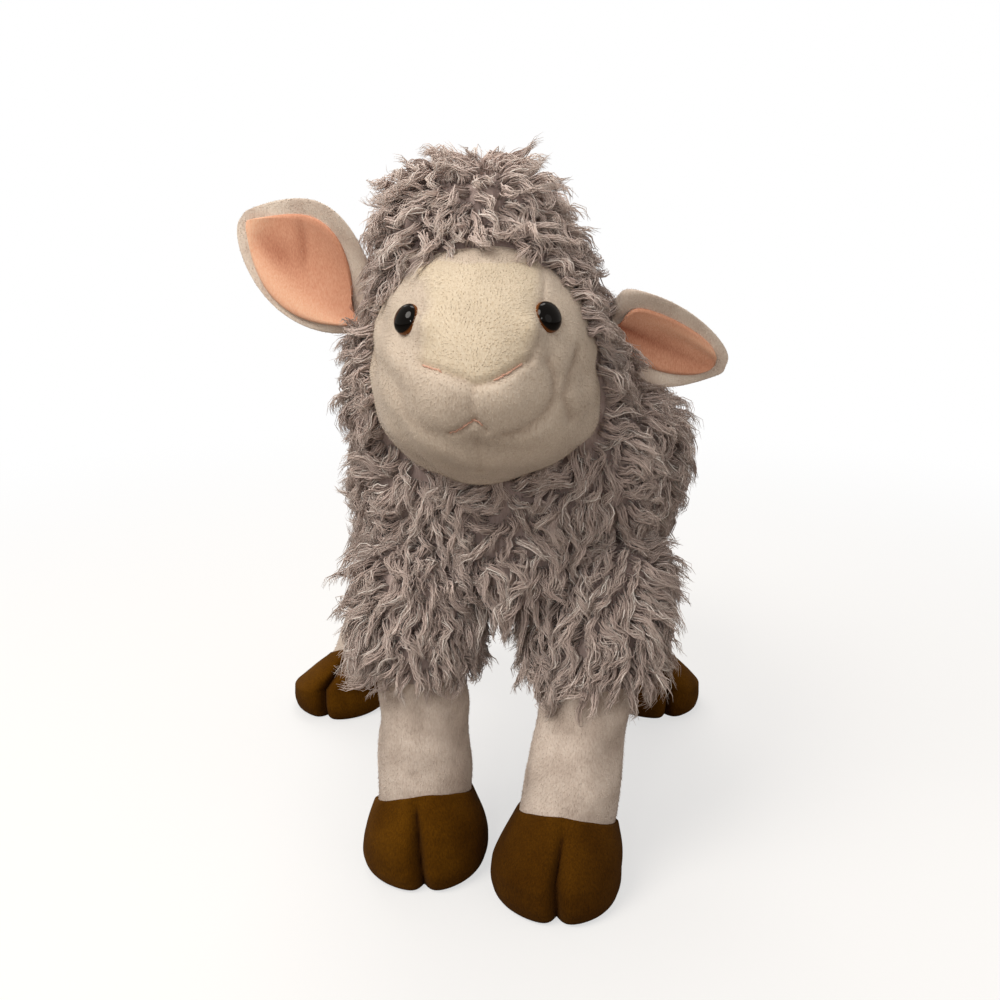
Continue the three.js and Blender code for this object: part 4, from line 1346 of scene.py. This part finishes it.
def under_fringe(places, normals):
    """True where fleece hangs over the egg of the face: round its sides and over its forehead."""
    seen = (normals * (places - EYE_POINT)).sum(-1) < 0
    local = from_head(places)
    behind = (local[:, 1] > -48 * MM) & (local[:, 2] > -6 * MM)
    return np.where(seen, ~within(picture_of(places), HAIRLINE), behind)


fringe_rng = np.random.default_rng(23)
roots, normals = scatter(face, LOCK_GAP, fringe_rng)
rows = under_fringe(roots, normals) & outside_of(hood_tree, roots, 0)
roots, normals = roots[rows], normals[rows]
away = unit(roots - in_head(np.array([[0, -90, 20]]) * MM))
fall = comb(roots, normals, DOWN + 0.9 * away * np.array([1, 0.2, 0]), 0.7, 33)
lock_pieces("fringe", roots, normals, fall, FRINGE_LOCK, fringe_rng, "head")

# %% The legs' fleece
SLEEVE_REACH = {
    "front_right": ([-0.8, 0, 0.8], [1.25, 0.85, 0.6]),
    "front_left": ([-0.8, 0, 0.8], [1.1, 0.85, 1.3]),
    "rear_right": ([-0.8, 0.8], [1.6, 1.3]),
    "rear_left": ([-0.8, 0.8], [1.6, 1.3]),
}
for number, leg in enumerate(LEGS):
    leg_rng = np.random.default_rng(40 + number)
    roots, normals = scatter(sleeves[leg], LOCK_GAP * 0.9, leg_rng)
    rows = outside_of(torso_tree, roots, 0.5 * MM) & (normals[:, 2] > -0.7)
    roots, normals = roots[rows], normals[rows]
    fall = comb(roots, normals, np.broadcast_to(DOWN, roots.shape), 0.6, 50 + number)
    inward = 1 if leg.endswith("right") else -1
    aside = inward * (roots[:, 0] - leg_line(leg, roots[:, 2])[:, 0]) / LEG["hem"]
    reach = np.interp(aside, *SLEEVE_REACH[leg])
    lock_pieces(f"{leg}_sleeve", roots, normals, fall, HEM_LOCK, leg_rng, f"{leg}_leg", reach)

# %% The tail's fleece
tail_rng = np.random.default_rng(60)
roots, normals = scatter(tail_skin, LOCK_GAP * 0.7, tail_rng)
rows = outside_of(torso_tree, roots, 1 * MM)
roots, normals = roots[rows], normals[rows]
fall = comb(roots, normals, np.broadcast_to(DOWN + np.array([0, 0.6, 0]), roots.shape), 0.5, 61)
TAIL_LOCK = dict(LOCK, length=17 * MM, rise=58, curl=2 * MM, spread=3.4 * MM)
lock_pieces("tail_fleece", roots, normals, fall, TAIL_LOCK, tail_rng, "tail")

# %% [markdown]
# The stage is a plain pale floor under a white sky. The camera sees the sky at full white, but the toy
# is lit by a dimmer sky and by soft lamps, so that its colours render about as they are written.

# %% The floor
def floor_material():
    """A pale floor that keeps the toy's shadow near it and fades into the white further off."""
    material, shader, tree = fresh_material("floor", Roughness=0.9)
    path = add_node(tree, "LightPath")
    tone = mix_colour(tree, path.outputs["Is Camera Ray"], srgb(136, 128, 120), srgb(244, 243, 241))
    tree.links.new(tone, shader.inputs["Base Color"])
    where = add_node(tree, "TexCoord")
    reach = add_node(tree, "VectorMath")
    reach.operation = "LENGTH"
    fade = add_node(tree, "MapRange", From_Min=0.2, From_Max=1.1, To_Min=0.62)
    fade.interpolation_type = "SMOOTHSTEP"
    share = add_node(tree, "Math")
    share.operation = "MULTIPLY"
    white = add_node(tree, "Emission")
    blend = add_node(tree, "MixShader")
    wire(tree,
         (where, "Object", reach, 0), (reach, "Value", fade, "Value"),
         (path, "Is Camera Ray", share, 0), (fade, "Result", share, 1),
         (share, "Value", blend, "Fac"), (shader, "BSDF", blend, 1), (white, "Emission", blend, 2),
         (blend, "Shader", tree.nodes["Material Output"], "Surface"))
    return material


FLOOR_HALF = 6.0
corners = np.array([[-1, -1, 0], [1, -1, 0], [1, 1, 0], [-1, 1, 0]]) * FLOOR_HALF
floor = build("floor", corners, [[0, 1, 2, 3]], (), floor_material())
floor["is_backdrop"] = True

# %% The sky
world = bpy.data.worlds.new("sky")
world.use_nodes = True
scene.world = world
sky = world.node_tree
seen_sky = sky.nodes["Background"]
set_inputs(seen_sky, Color=(1, 1, 1, 1))
lit_sky = add_node(sky, "Background", Color=srgb(255, 246, 236), Strength=0.44)
path = add_node(sky, "LightPath")
seen_share = add_node(sky, "Math")
seen_share.operation = "MAXIMUM"
chosen = add_node(sky, "MixShader")
wire(sky,
     (path, "Is Camera Ray", seen_share, 0), (path, "Is Transmission Ray", seen_share, 1),
     (seen_share, "Value", chosen, "Fac"), (lit_sky, "Background", chosen, 1),
     (seen_sky, "Background", chosen, 2), (chosen, "Shader", sky.nodes["World Output"], "Surface"))
print("sky nodes:", len(sky.nodes))

# %% The lamps
MIDDLE = Vector((0, -0.05, 0.2))


def lamp(name, place, size, power, colour):
    """A soft round lamp that looks at the middle of the toy."""
    data = bpy.data.lights.new(name, "AREA")
    data.shape = "DISK"
    data.size = size
    data.energy = power
    data.color = colour
    light = bpy.data.objects.new(name, data)
    light.location = place
    light.rotation_euler = (MIDDLE - Vector(place)).to_track_quat("-Z", "Y").to_euler()
    scene.collection.objects.link(light)
    print("lamp:", name)


lamp("key", (-0.68, -0.74, 1.24), 0.8, 13.5, (1.0, 0.95, 0.88))
lamp("fill", (0.7, -0.9, 0.6), 0.8, 0.9, (1.0, 0.96, 0.92))
lamp("glint", (-0.12, -0.75, 0.42), 0.06, 0.4, (1.0, 1.0, 1.0))
lamp("back", (-0.3, 0.9, 1.0), 0.8, 3.5, (1.0, 0.97, 0.94))
lamp("crown", (0.0, 0.4, 1.5), 0.6, 4.0, (1.0, 0.96, 0.92))
scene.view_settings.view_transform = "Standard"

# %% Sizes and the last line
low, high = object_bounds()
